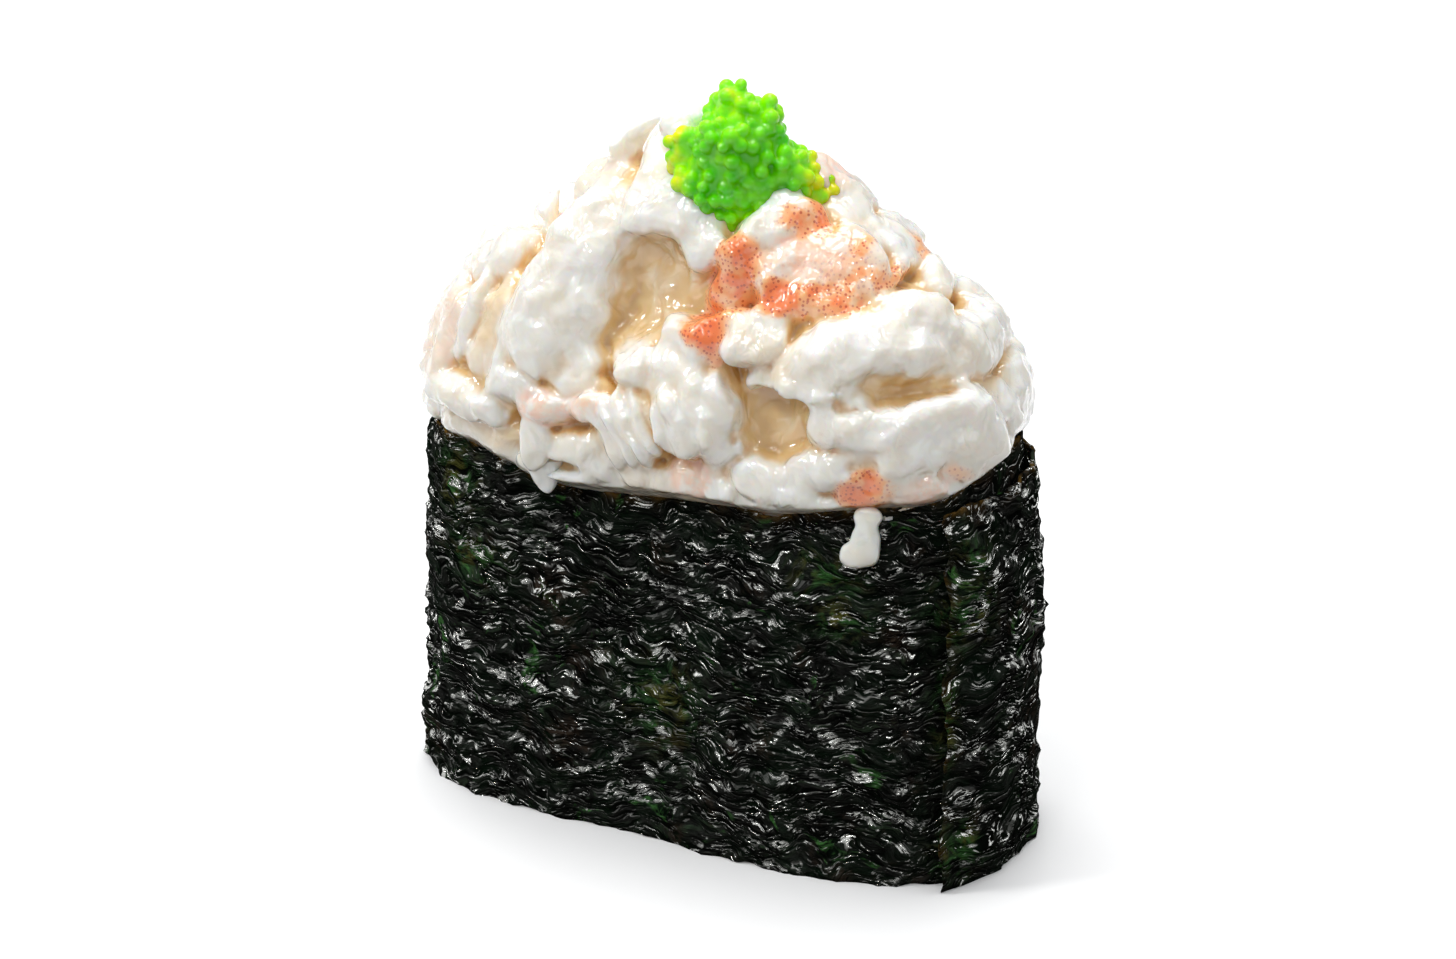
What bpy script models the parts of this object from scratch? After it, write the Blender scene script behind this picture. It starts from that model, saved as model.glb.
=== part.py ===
"""Gunkan sushi: a seaweed band wrapped round a block of rice, heaped with creamy crab salad and flying fish roe.

Metres, +Z up. The long side of the piece lies along X, the front faces -Y, and the origin is at the middle
of the footprint, on the surface that the piece stands on.
"""

import math

import bmesh
import bpy
import numpy as np
from mathutils import Matrix, Vector, noise

MM = 0.001

# Plan of the band: a squared oval, pressed in a little by the fingers on its front side.
HALF_LENGTH = 26.1 * MM
HALF_WIDTH = 12.1 * MM
SQUARENESS = 2.9
DENT_DEPTH = 1.5 * MM
DENT_X = -3.5 * MM
DENT_SPREAD = 7.0 * MM
OUTLINE_SAMPLES = 720

# The band: one strip of seaweed whose outer end laps over its inner end at the right.
STRIP_THICKNESS = 0.35 * MM
STRIP_HEIGHT = 32.0 * MM
STRIP_START = 0.925
LAP_TURNS = 0.14
LAP_BLEND_TURNS = 0.08
LAP_OFFSET = 0.7 * MM
RIM_MARGIN_TURNS = 0.022
WALL_BULGE = 0.15 * MM
WALL_TAPER = 0.5 * MM
WALL_LEAN_IN = 0.6 * MM
STRIP_COLUMNS = 100
STRIP_ROWS = 4
# (turns along the strip, height of its upper edge): it dips at the front and rises at the inner end.
UPPER_EDGE = (
    (0.00, 33.2 * MM),
    (0.10, 33.0 * MM),
    (0.30, 31.8 * MM),
    (0.55, 32.4 * MM),
    (0.66, 31.6 * MM),
    (0.76, 29.8 * MM),
    (0.88, 31.4 * MM),
    (0.98, 33.2 * MM),
    (1.06, 35.8 * MM),
    (1.14, 36.0 * MM),
)

# Rice, and the gap that every two touching pieces keep.
GAP = 0.3 * MM
SEAT_GROWTH = 0.45 * MM
RICE_HEIGHT = 19.0 * MM
RICE_CROWN = 1.5 * MM
RICE_EDGE_ROUND = 1.2 * MM

# The heap of salad: straight up to its shoulder, then narrowing to its top.
SHOULDER_HEIGHT = 36.0 * MM
HEAP_TOP = 61.0 * MM
HEAP_TAPER = 1.6
OVERHANG = 0.9 * MM
HEAP_SUNK = 2.0 * MM
LUMP_SIZE = 7.5 * MM
LUMP_DEPTH = 1.7 * MM
SALAD_RINGS = 20
SALAD_BASE_RINGS = 3
SALAD_WALL_RINGS = 3

# Pieces of crab meat: name, bearing round the heap in degrees, height, width, length, thickness, roll in
# degrees, how far the piece stands proud of the heap, and its colour.
CREAM = (0.90, 0.86, 0.76, 1.0)
PINK = (0.92, 0.68, 0.58, 1.0)
ORANGE = (0.88, 0.36, 0.15, 1.0)
CRAB_PIECES = (
    ("crab_left", -114, 46.0, 11.0, 18.5, 8.5, -14, 1.0, CREAM),
    ("crab_right", -42, 44.6, 16.0, 10.5, 9.0, 24, 1.5, CREAM),
    ("crab_centre", -95, 41.5, 10.5, 11.5, 7.0, -25, 1.2, CREAM),
    ("crab_crown", -97, 55.0, 11.0, 8.5, 7.0, 10, 1.0, CREAM),
    ("crab_pink", -47, 51.0, 8.0, 8.5, 6.0, -30, 0.6, PINK),
    ("crab_orange", -79, 47.4, 4.6, 9.0, 4.0, -38, 0.9, ORANGE),
    ("crab_flake", -70, 45.0, 7.2, 4.6, 3.6, 28, 1.2, CREAM),
    ("crab_lobe", 2, 44.2, 9.0, 6.0, 6.5, 8, 2.2, CREAM),
    ("crab_shoulder", -5, 52.2, 8.5, 6.0, 6.0, 0, 1.6, CREAM),
    ("crab_far_left", -146, 43.6, 7.5, 10.0, 6.0, 12, 0.8, CREAM),
    ("crab_rim_left", -127, 37.4, 10.0, 6.0, 5.5, 10, 0.8, CREAM),
    ("crab_rim_front", -82, 35.2, 12.5, 4.4, 4.4, 4, 0.9, CREAM),
    ("crab_rim_right", -52, 36.6, 11.0, 4.6, 4.6, -6, 0.8, PINK),
    ("crab_peak", 14, 56.4, 7.0, 6.0, 5.0, 10, 1.4, PINK),
    ("crab_back_left", 122, 45.0, 11.5, 13.0, 7.5, 20, 1.0, CREAM),
    ("crab_back_right", 52, 42.5, 13.0, 10.0, 8.0, -15, 1.1, CREAM),
    ("crab_back_middle", 88, 39.5, 9.0, 8.0, 6.0, -20, 0.9, CREAM),
    ("crab_back_top", 100, 53.0, 8.5, 7.5, 6.0, 15, 0.7, PINK),
    ("crab_left_end", 170, 41.0, 8.0, 9.0, 6.0, -10, 0.9, CREAM),
)
PIECE_SEGMENTS = 10
PIECE_RINGS = 7
PIECE_UNEVENNESS = 0.22

# The roe: a small peaked heap on the front of the top.
ROE_CENTRE = Vector((3.6, -2.6, 57.2)) * MM
ROE_HALF_SIZES = Vector((6.6, 4.6, 5.2)) * MM
ROE_PEAK = 0.55
ROE_BUMP_SIZE = 2.4 * MM
ROE_BUMP_DEPTH = 0.7 * MM


def clear_scene():
    for thing in list(bpy.data.objects):
        bpy.data.objects.remove(thing, do_unlink=True)


def new_collection(name):
    collection = bpy.data.collections.new(name)
    bpy.context.scene.collection.children.link(collection)
    return collection


def new_material(name, colour, roughness):
    material = bpy.data.materials.new(name)
    material.use_nodes = True
    shader = material.node_tree.nodes["Principled BSDF"]
    shader.inputs["Base Color"].default_value = colour
    shader.inputs["Roughness"].default_value = roughness
    shader.inputs["Metallic"].default_value = 0.0
    return material


def mesh_object(name, bm, collection, material):
    """A smooth-shaded object. Its faces are triangles, so that a piece and its seat bend along the same lines."""
    bmesh.ops.triangulate(bm, faces=bm.faces)
    mesh = bpy.data.meshes.new(name)
    bm.to_mesh(mesh)
    bm.free()
    mesh.shade_smooth()
    if material:
        mesh.materials.append(material)
    thing = bpy.data.objects.new(name, mesh)
    collection.objects.link(thing)
    return thing


def smooth_step(value):
    value = min(1.0, max(0.0, value))
    return value * value * (3 - 2 * value)


def oval_radius(bearing, half_length, half_width):
    """Distance from the middle to a squared oval, along a direction given by its angle on the unit oval."""
    c, s = abs(math.cos(bearing)), abs(math.sin(bearing))
    reach = (c**SQUARENESS + s**SQUARENESS) ** (-1 / SQUARENESS)
    return reach * half_length * math.cos(bearing), reach * half_width * math.sin(bearing)


def wall_outline():
    """Evenly spaced points of the wall's middle line and their outward normals, from +X counter-clockwise."""
    bearings = np.linspace(0, 2 * math.pi, OUTLINE_SAMPLES, endpoint=False)
    rough = np.array([oval_radius(b, HALF_LENGTH, HALF_WIDTH) for b in bearings])
    front = np.clip(-rough[:, 1] / HALF_WIDTH, 0, 1)
    rough[:, 1] += DENT_DEPTH * front * np.exp(-(((rough[:, 0] - DENT_X) / DENT_SPREAD) ** 2))
    closed = np.vstack([rough, rough[:1]])
    along = np.concatenate([[0], np.cumsum(np.linalg.norm(np.diff(closed, axis=0), axis=1))])
    even = np.linspace(0, along[-1], OUTLINE_SAMPLES, endpoint=False)
    points = np.stack([np.interp(even, along, closed[:, k]) for k in range(2)], axis=1)
    tangents = np.roll(points, -1, axis=0) - np.roll(points, 1, axis=0)
    tangents /= np.linalg.norm(tangents, axis=1)[:, None]
    return points, np.stack([tangents[:, 1], -tangents[:, 0]], axis=1)


OUTLINE, OUTWARD = wall_outline()


def wall_point(turn, offset):
    """A point beside the wall's middle line, so many turns from +X, and offset outwards."""
    place = (turn % 1.0) * OUTLINE_SAMPLES
    low = int(place) % OUTLINE_SAMPLES
    high = (low + 1) % OUTLINE_SAMPLES
    share = place - int(place)
    point = OUTLINE[low] * (1 - share) + OUTLINE[high] * share
    normal = OUTWARD[low] * (1 - share) + OUTWARD[high] * share
    return point + normal * offset


def wall_swell(height):
    """How far the wall stands out of its plan at a height: it tapers a little, then leans in at the top."""
    share = min(1.0, max(0.0, height / STRIP_HEIGHT))
    leaning = WALL_TAPER * share + WALL_LEAN_IN * smooth_step((share - 0.75) / 0.25)
    return WALL_BULGE * math.sin(math.pi * share) - leaning


def upper_edge(turns_along):
    """Height of the strip's upper edge, so many turns from its outer end."""
    for (start, low), (end, high) in zip(UPPER_EDGE, UPPER_EDGE[1:]):
        if turns_along <= end:
            return low + (high - low) * smooth_step((turns_along - start) / (end - start))
    return UPPER_EDGE[-1][1]


def rim_height(turn):
    """The highest edge of the band at or close to a place round it, where both layers of the lap count."""
    edges = []
    for aside in (-RIM_MARGIN_TURNS, 0.0, RIM_MARGIN_TURNS):
        along = (turn + aside - STRIP_START) % 1.0
        edges.append(upper_edge(along))
        if along <= LAP_TURNS:
            edges.append(upper_edge(along + 1.0))
    return max(edges)


def make_band(collection, material):
    """The seaweed strip: a grid wound once round the plan, its outer end over its inner one, then thickened."""
    bm = bmesh.new()
    bmesh.ops.create_grid(bm, x_segments=STRIP_COLUMNS, y_segments=STRIP_ROWS, size=0.5)
    total_turns = 1.0 + LAP_TURNS
    for vertex in bm.verts:
        along = (vertex.co.x + 0.5) * total_turns
        top = upper_edge(along)
        bottom = max(0.0, top - STRIP_HEIGHT - 1.6 * MM) if along > 1.0 else 0.0
        height = bottom + (vertex.co.y + 0.5) * (top - bottom)
        lap = LAP_OFFSET * (1 - smooth_step((along - LAP_TURNS - 0.01) / LAP_BLEND_TURNS))
        x, y = wall_point(STRIP_START + along, lap + wall_swell(height))
        vertex.co = (x, y, height)
    band = mesh_object("seaweed_band", bm, collection, material)
    wall = band.modifiers.new("strip_thickness", "SOLIDIFY")
    wall.thickness = STRIP_THICKNESS
    wall.offset = 0.0
    wall.use_even_offset = True
    return band


def reshaped_sphere(segments, rings, placing):
    """A closed skin: a sphere's vertices moved by placing(turn, rise), with rise from 0 below to 1 on top."""
    bm = bmesh.new()
    bmesh.ops.create_uvsphere(bm, u_segments=segments, v_segments=rings, radius=1.0)
    for vertex in bm.verts:
        turn = (math.atan2(vertex.co.y, vertex.co.x) / (2 * math.pi)) % 1.0
        rise = 1 - math.acos(max(-1.0, min(1.0, vertex.co.z))) / math.pi
        vertex.co = placing(turn, rise)
    return bm


def rice_top(reach):
    """Height of the rice's crowned top, by the distance from its middle as a share of its plan."""
    return RICE_HEIGHT - RICE_CROWN * reach * reach


def make_rice(collection, material):
    """The block of rice: flat below, where it stands, crowned on top, and just clear of the band."""
    inset = STRIP_THICKNESS / 2 + GAP

    def placing(turn, rise):
        if rise < 0.25:
            reach, height = rise / 0.25, 0.0
        elif rise < 0.7:
            share = (rise - 0.25) / 0.45
            reach, height = 1.0, share * (rice_top(1.0) - RICE_EDGE_ROUND)
        else:
            reach = (1 - rise) / 0.3
            height = rice_top(reach) - RICE_EDGE_ROUND * reach**6
        if rise >= 0.25:
            height = max(height, 0.15 * MM)
        edge = wall_point(turn, wall_swell(height) - inset)
        if height == 0.0:
            edge = wall_point(turn, -inset - 0.4 * MM)
        x, y = edge * reach
        return Vector((x, y, height))

    return mesh_object("rice", reshaped_sphere(48, 16, placing), collection, material)


def heap_point(bearing, height, sunk=0.0):
    """A point of the heap's envelope, or of one sunk below it, by bearing on the oval and by height."""
    rise = (height - SHOULDER_HEIGHT) / (HEAP_TOP - sunk - SHOULDER_HEIGHT)
    share = 1 - max(0.0, min(1.0, rise)) ** HEAP_TAPER
    x, y = oval_radius(bearing, HALF_LENGTH + OVERHANG - sunk, HALF_WIDTH + OVERHANG - sunk)
    return Vector((x * share, y * share, height))


def heap_axes(bearing, height):
    """Sideways, upwards and outwards directions on the heap's envelope."""
    here = heap_point(bearing, height)
    aside = (heap_point(bearing + 0.01, height) - here).normalized()
    upwards = (heap_point(bearing, height + 0.1 * MM) - here).normalized()
    outwards = aside.cross(upwards).normalized()
    return aside, outwards.cross(aside).normalized(), outwards


def lumps(point):
    """Rounded lumps of the salad's surface, from 0 in the creases to 1 on the crests."""
    nearest = noise.voronoi(point / LUMP_SIZE)[0][0]
    return max(0.0, 1 - nearest * nearest * 1.4)


def make_salad(collection, material):
    """The heap of salad: it fills the band above the rice, clears its rim, and rises in lumps to its top."""
    inset = STRIP_THICKNESS / 2 + GAP

    def placing(turn, rise):
        outline = wall_point(turn, 0.0)
        bearing = math.atan2(outline[1] / HALF_WIDTH, outline[0] / HALF_LENGTH)
        rim = rim_height(turn)
        ring = round(rise * SALAD_RINGS)
        if ring <= SALAD_BASE_RINGS:
            reach = ring / SALAD_BASE_RINGS
            x, y = wall_point(turn, wall_swell(RICE_HEIGHT) - inset) * reach
            return Vector((x, y, rice_top(reach) + GAP))
        if ring <= SALAD_BASE_RINGS + SALAD_WALL_RINGS:
            share = (ring - SALAD_BASE_RINGS) / SALAD_WALL_RINGS
            start = rice_top(1.0) + GAP
            height = start + share * (rim + 2 * GAP - start)
            x, y = wall_point(turn, wall_swell(height) - inset)
            return Vector((x, y, height))
        first = SALAD_BASE_RINGS + SALAD_WALL_RINGS + 1
        share = (ring - first) / (SALAD_RINGS - first)
        start = rim + 4 * GAP
        height = start + (HEAP_TOP - HEAP_SUNK - start) * math.sin(share * math.pi / 2)
        point = heap_point(bearing, height, HEAP_SUNK)
        outwards = heap_axes(bearing, min(height, HEAP_TOP - 3 * MM))[2].lerp(Vector((0, 0, 1)), share**8)
        return point + outwards * LUMP_DEPTH * lumps(point)

    return mesh_object("crab_salad", reshaped_sphere(50, SALAD_RINGS, placing), collection, material)


def make_piece(spec, collection, grown=0.0):
    """A piece of crab meat: an uneven lump that lies on the heap, facing outwards, at its size or grown."""
    name, degrees, height, width, length, thickness, roll, proud, colour = spec
    bearing, height = math.radians(degrees), height * MM
    aside, upwards, outwards = heap_axes(bearing, height)
    middle = heap_point(bearing, height) - outwards * (thickness / 2 - proud) * MM
    turn = Matrix((aside, upwards, outwards)).transposed() @ Matrix.Rotation(math.radians(roll), 3, "Z")
    bm = bmesh.new()
    bmesh.ops.create_uvsphere(bm, u_segments=PIECE_SEGMENTS, v_segments=PIECE_RINGS, radius=1.0)
    halves = Vector((width, length, thickness)) * (MM / 2)
    seed = Vector((degrees, height / MM, roll))
    for vertex in bm.verts:
        swell = 1 + PIECE_UNEVENNESS * noise.noise(vertex.co * 1.6 + seed)
        vertex.co = Vector(c * (h + grown) * swell for c, h in zip(vertex.co, halves))
    bm.transform(Matrix.Translation(middle) @ turn.to_4x4())
    if grown:
        return make_cutter(name, bm, collection)
    return mesh_object(name, bm, collection, new_material(name, colour, 0.25))


def make_roe(collection, material, grown=0.0):
    """The heap of roe: peaked, broad below, and knobbly with its eggs, at its size or grown."""
    bm = bmesh.new()
    bmesh.ops.create_icosphere(bm, subdivisions=3, radius=1.0)
    for vertex in bm.verts:
        narrowing = 1 - ROE_PEAK * smooth_step((vertex.co.z + 0.4) / 1.4)
        point = Vector((vertex.co.x * narrowing, vertex.co.y * narrowing, vertex.co.z))
        place = Vector(c * h for c, h in zip(point, ROE_HALF_SIZES))
        knob = 1 - noise.voronoi(place / ROE_BUMP_SIZE)[0][0]
        vertex.co = ROE_CENTRE + place + vertex.co * (ROE_BUMP_DEPTH * knob + grown)
    if grown:
        return make_cutter("flying_fish_roe", bm, collection)
    return mesh_object("flying_fish_roe", bm, collection, material)


def make_cutter(name, bm, collection):
    """The grown form of a piece, which cuts the piece's seat in its neighbours."""
    cutter = mesh_object(name + "_seat", bm, collection, None)
    cutter.hide_render = True
    cutter.display_type = "WIRE"
    return cutter


def cut_seat(thing, cutter):
    seat = thing.modifiers.new(cutter.name, "BOOLEAN")
    seat.operation = "DIFFERENCE"
    seat.solver = "MANIFOLD"  # the exact solver loses the heap after several seats that share edges
    seat.object = cutter


def island_of(vertex):
    """The vertices joined to this one by edges, itself included."""
    found, waiting = {vertex}, [vertex]
    while waiting:
        for edge in waiting.pop().link_edges:
            for neighbour in edge.verts:
                if neighbour not in found:
                    found.add(neighbour)
                    waiting.append(neighbour)
    return found


def keep_main_body(thing):
    """Applies a piece's seats and drops any crumb that was left standing between two of them."""
    graph = bpy.context.evaluated_depsgraph_get()
    mesh = bpy.data.meshes.new_from_object(thing.evaluated_get(graph))
    thing.modifiers.clear()
    thing.data = mesh
    bm = bmesh.new()
    bm.from_mesh(mesh)
    unseen, islands = set(bm.verts), []
    while unseen:
        islands.append(island_of(next(iter(unseen))))
        unseen -= islands[-1]
    for crumb in sorted(islands, key=len)[:-1]:
        bmesh.ops.delete(bm, geom=list(crumb), context="VERTS")
    bm.to_mesh(mesh)
    bm.free()


def boxes_meet(first, second):
    """Whether the boxes round two objects share any space."""
    spans = []
    for thing in (first, second):
        points = np.array([v.co for v in thing.data.vertices])
        spans.append((points.min(axis=0), points.max(axis=0)))
    (low_a, high_a), (low_b, high_b) = spans
    return bool((low_a < high_b).all() and (low_b < high_a).all())


def centre_footprint(parts):
    """Moves the whole piece so that the middle of its box is above the origin and its base is at zero."""
    bpy.context.view_layer.update()
    graph = bpy.context.evaluated_depsgraph_get()
    corners = [Vector(corner) for part in parts for corner in part.evaluated_get(graph).bound_box]
    low = [min(corner[axis] for corner in corners) for axis in range(3)]
    high = [max(corner[axis] for corner in corners) for axis in range(3)]
    return Vector((-(low[0] + high[0]) / 2, -(low[1] + high[1]) / 2, -low[2]))


def main():
    clear_scene()
    sushi = new_collection("gunkan_sushi")
    cutters = new_collection("seats")
    band = make_band(sushi, new_material("seaweed", (0.012, 0.022, 0.014, 1.0), 0.35))
    rice = make_rice(sushi, new_material("rice", (0.90, 0.89, 0.84, 1.0), 0.5))
    salad = make_salad(sushi, new_material("crab_salad", (0.92, 0.88, 0.79, 1.0), 0.25))
    roe = make_roe(sushi, new_material("roe", (0.18, 0.62, 0.02, 1.0), 0.15))
    inserts = [roe] + [make_piece(spec, sushi) for spec in CRAB_PIECES]
    seats = [make_roe(cutters, None, SEAT_GROWTH)]
    seats += [make_piece(spec, cutters, SEAT_GROWTH) for spec in CRAB_PIECES]
    for order, seat in enumerate(seats):
        cut_seat(salad, seat)
        for later in inserts[order + 1 :]:
            if boxes_meet(later, seat):
                cut_seat(later, seat)
    for thing in [salad, *inserts]:
        keep_main_body(thing)
    parts = [band, rice, salad, *inserts]
    shift = centre_footprint(parts)
    for thing in [*parts, *seats]:
        thing.location = shift


main()
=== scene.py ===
"""The looks of the gunkan sushi: crinkled seaweed, rice, creamy crab salad, fish roe, a drip and the studio."""

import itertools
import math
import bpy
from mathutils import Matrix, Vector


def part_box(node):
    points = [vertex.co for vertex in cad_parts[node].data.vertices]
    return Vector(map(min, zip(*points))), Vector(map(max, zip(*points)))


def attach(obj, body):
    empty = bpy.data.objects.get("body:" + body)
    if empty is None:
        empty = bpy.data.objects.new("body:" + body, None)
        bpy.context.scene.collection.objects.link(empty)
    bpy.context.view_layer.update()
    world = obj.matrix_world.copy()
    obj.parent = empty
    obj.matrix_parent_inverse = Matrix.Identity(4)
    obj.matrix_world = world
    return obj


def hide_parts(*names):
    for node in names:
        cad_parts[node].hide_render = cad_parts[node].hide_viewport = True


bl_info = {
    "name": "Gunkan Sushi",
    "version": (1, 0, 0),
    "blender": (4, 5, 0),
    "location": "View3D > Sidebar > Gunkan Sushi",
    "description": "Dresses the packed gunkan sushi: seaweed, rice, crab salad, roe, mayonnaise and studio",
    "category": "Add Mesh",
}

import bmesh
import bpy
import numpy as np
from bpy.props import FloatProperty, FloatVectorProperty, IntProperty, PointerProperty
from mathutils import Euler, Vector

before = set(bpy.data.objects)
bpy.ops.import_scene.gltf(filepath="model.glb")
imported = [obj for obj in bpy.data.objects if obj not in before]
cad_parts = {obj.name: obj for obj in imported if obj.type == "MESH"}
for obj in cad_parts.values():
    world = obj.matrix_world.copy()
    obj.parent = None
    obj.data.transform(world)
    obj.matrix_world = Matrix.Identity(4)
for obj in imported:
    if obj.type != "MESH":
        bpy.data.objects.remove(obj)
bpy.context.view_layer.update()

MM = 0.001
BODY = "root"
COLLECTION = "gunkan_sushi_looks"

# Plan of the seaweed wall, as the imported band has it: a squared oval with a pressed dent in front (mm).
WALL_HALF_LENGTH = 26.1
WALL_HALF_WIDTH = 12.1
WALL_SQUARENESS = 2.9
DENT_DEPTH = 1.5
DENT_X = -3.5
DENT_SPREAD = 7.0
STRIP_HEIGHT = 32.0
STRIP_START = 0.933
LAP_TURNS = 0.14
LAP_BLEND_TURNS = 0.08
LAP_OFFSET = 0.9
UPPER_EDGE_TURNS = (0.00, 0.10, 0.30, 0.55, 0.66, 0.76, 0.88, 0.98, 1.06, 1.14)
UPPER_EDGE_HEIGHTS = (33.2, 33.0, 31.8, 32.4, 31.6, 29.8, 31.4, 33.2, 35.8, 36.0)

# Thin leafy places of the sheet: mm from its outer end, height, and how wide and tall each is (mm).
LEAFY_SPOTS = (
    (1.6, 24.5, 2.0, 2.4),
    (2.6, 29.0, 1.3, 1.4),
    (0.3, 15.5, 0.7, 3.2),
    (1.5, 3.5, 1.5, 2.2),
    (-9.5, 27.0, 2.6, 1.7),
    (-8.0, 23.5, 2.0, 1.4),
    (-24.0, 12.5, 2.8, 3.4),
    (-44.5, 28.0, 2.0, 2.6),
    (-41.5, 22.0, 2.6, 1.6),
)

# The envelope of the heap of salad (mm).
HEAP_HALF_LENGTH = 26.1
HEAP_HALF_WIDTH = 12.4
HEAP_SHOULDER = 36.0
HEAP_TOP = 62.0
HEAP_TAPER = 1.6

FORM_SINK = 0.45
FORM_FLATNESS = 2.5
CORE_SINK = 2.0

# Sideways, forwards and upwards for the leaning pile of roe.
ROE_AXES = np.array([(0.895, 0.446, 0.0), (0.446, -0.895, 0.0), (0.0, 0.0, 1.0)])

NOISE_LATTICE = 32


# ---------------------------------------------------------------- shared maths


def ease(value):
    value = np.clip(value, 0.0, 1.0)
    return value * value * (3.0 - 2.0 * value)


def swells(points, size, seed):
    """Smooth random swells from about -1 to 1 at points (n, 3), with lumps about as large as size."""
    slopes = np.random.default_rng(seed).normal(size=(NOISE_LATTICE,) * 3 + (3,)).astype(np.float32)
    slopes /= np.linalg.norm(slopes, axis=-1, keepdims=True)
    place = np.asarray(points, np.float32) / np.float32(size) + np.float32(3 * NOISE_LATTICE + 0.37)
    cell = np.floor(place).astype(np.int32)
    part = place - cell
    fade = part**3 * (part * (part * 6 - 15) + 10)
    total = np.zeros(len(place), np.float32)
    for corner in itertools.product((0, 1), repeat=3):
        index = (cell + corner) & (NOISE_LATTICE - 1)
        slope = slopes[index[:, 0], index[:, 1], index[:, 2]]
        weight = np.prod(np.where(corner, fade, 1 - fade), axis=1)
        total += weight * ((part - corner) * slope).sum(axis=1)
    return total * 1.7


def ridges(points, size, seed, sharpness=3.0):
    """Thin crests from 0 to 1 that wander between the swells."""
    return np.clip(1.0 - np.abs(swells(points, size, seed)) * 1.4, 0.0, 1.0) ** sharpness


def flakes(points, size, seed, edge=0.16):
    """Broken facets from about -1 to 1: every cell is a shard that lies at its own height and tilt."""
    draw = np.random.default_rng(seed)
    lattice = (NOISE_LATTICE,) * 3
    jitter = draw.random(size=lattice + (3,)).astype(np.float32)
    tilts = draw.uniform(-1.1, 1.1, size=lattice + (3,)).astype(np.float32)
    levels = draw.uniform(-0.5, 0.5, size=lattice).astype(np.float32)
    place = np.asarray(points, np.float32) / np.float32(size) + np.float32(3 * NOISE_LATTICE + 0.37)
    cell = np.floor(place).astype(np.int32)
    nearest, second = np.full(len(place), 9.0, np.float32), np.full(len(place), 9.0, np.float32)
    value, other = np.zeros(len(place), np.float32), np.zeros(len(place), np.float32)
    for step in itertools.product((-1, 0, 1), repeat=3):
        here = cell + step
        index = here & (NOISE_LATTICE - 1)
        index = (index[:, 0], index[:, 1], index[:, 2])
        away = place - here - jitter[index]
        distance = np.sqrt((away * away).sum(axis=1))
        level = levels[index] + (away * tilts[index]).sum(axis=1)
        closer = distance < nearest
        between = ~closer & (distance < second)
        second = np.where(closer, nearest, np.where(between, distance, second))
        other = np.where(closer, value, np.where(between, level, other))
        nearest = np.where(closer, distance, nearest)
        value = np.where(closer, level, value)
    share = 0.5 + 0.5 * ease((second - nearest) / edge)
    return value * share + other * (1 - share)


def blend_least(first, second, reach):
    """The smaller of two distances, rounded where they are closer than reach."""
    share = np.clip(reach - np.abs(first - second), 0.0, None) / reach
    return np.minimum(first, second) - share * share * reach * 0.25


def turned(points, axis, degrees):
    """Points turned about the x, y or z axis."""
    rotation = np.array(Euler([math.radians(degrees) if k == axis else 0.0 for k in range(3)]).to_matrix())
    return points @ rotation.T


# ---------------------------------------------------------------- plan of the wall


def wall_outline(samples=1440):
    """Evenly spaced points of the wall's middle line in mm, their outward normals, and its length round."""
    bearings = np.linspace(0, 2 * math.pi, samples, endpoint=False)
    c, s = np.cos(bearings), np.sin(bearings)
    reach = (np.abs(c) ** WALL_SQUARENESS + np.abs(s) ** WALL_SQUARENESS) ** (-1 / WALL_SQUARENESS)
    rough = np.stack([WALL_HALF_LENGTH * reach * c, WALL_HALF_WIDTH * reach * s], axis=1)
    front = np.clip(-rough[:, 1] / WALL_HALF_WIDTH, 0, 1)
    rough[:, 1] += DENT_DEPTH * front * np.exp(-(((rough[:, 0] - DENT_X) / DENT_SPREAD) ** 2))
    closed = np.vstack([rough, rough[:1]])
    along = np.concatenate([[0], np.cumsum(np.linalg.norm(np.diff(closed, axis=0), axis=1))])
    even = np.linspace(0, along[-1], samples, endpoint=False)
    points = np.stack([np.interp(even, along, closed[:, k]) for k in range(2)], axis=1)
    tangents = np.roll(points, -1, axis=0) - np.roll(points, 1, axis=0)
    tangents /= np.linalg.norm(tangents, axis=1)[:, None]
    return points, np.stack([tangents[:, 1], -tangents[:, 0]], axis=1), along[-1]


OUTLINE, OUTWARD, PERIMETER = wall_outline()


def wall_points(turns, offsets):
    """Points beside the wall's middle line in mm, so many turns round, and their outward normals."""
    place = (np.asarray(turns) % 1.0) * len(OUTLINE)
    low = place.astype(int) % len(OUTLINE)
    high = (low + 1) % len(OUTLINE)
    share = (place - np.floor(place))[..., None]
    normal = OUTWARD[low] * (1 - share) + OUTWARD[high] * share
    point = OUTLINE[low] * (1 - share) + OUTLINE[high] * share
    return point + normal * np.asarray(offsets)[..., None], normal


def wall_swell(heights):
    """How far the wall stands out of its plan at a height: it tapers a little, then leans in at the top."""
    share = np.clip(np.asarray(heights) / STRIP_HEIGHT, 0, 1)
    return 0.15 * np.sin(math.pi * share) - 0.5 * share - 0.6 * ease((share - 0.75) / 0.25)


def upper_edge(turns_along):
    """Height of the strip's upper edge in mm, so many turns from its outer end."""
    turns_along = np.asarray(turns_along, float)
    index = np.clip(np.searchsorted(UPPER_EDGE_TURNS, turns_along) - 1, 0, len(UPPER_EDGE_TURNS) - 2)
    knots, heights = np.array(UPPER_EDGE_TURNS), np.array(UPPER_EDGE_HEIGHTS)
    share = ease((turns_along - knots[index]) / (knots[index + 1] - knots[index]))
    return heights[index] + (heights[index + 1] - heights[index]) * share


def rim_height(turns):
    """The higher edge of the band at places round it, where both layers of the lap count."""
    along = (np.asarray(turns) - STRIP_START) % 1.0
    return np.maximum(upper_edge(along), np.where(along < LAP_TURNS, upper_edge(along + 1.0), 0.0))


# ---------------------------------------------------------------- the heap's envelope


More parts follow.
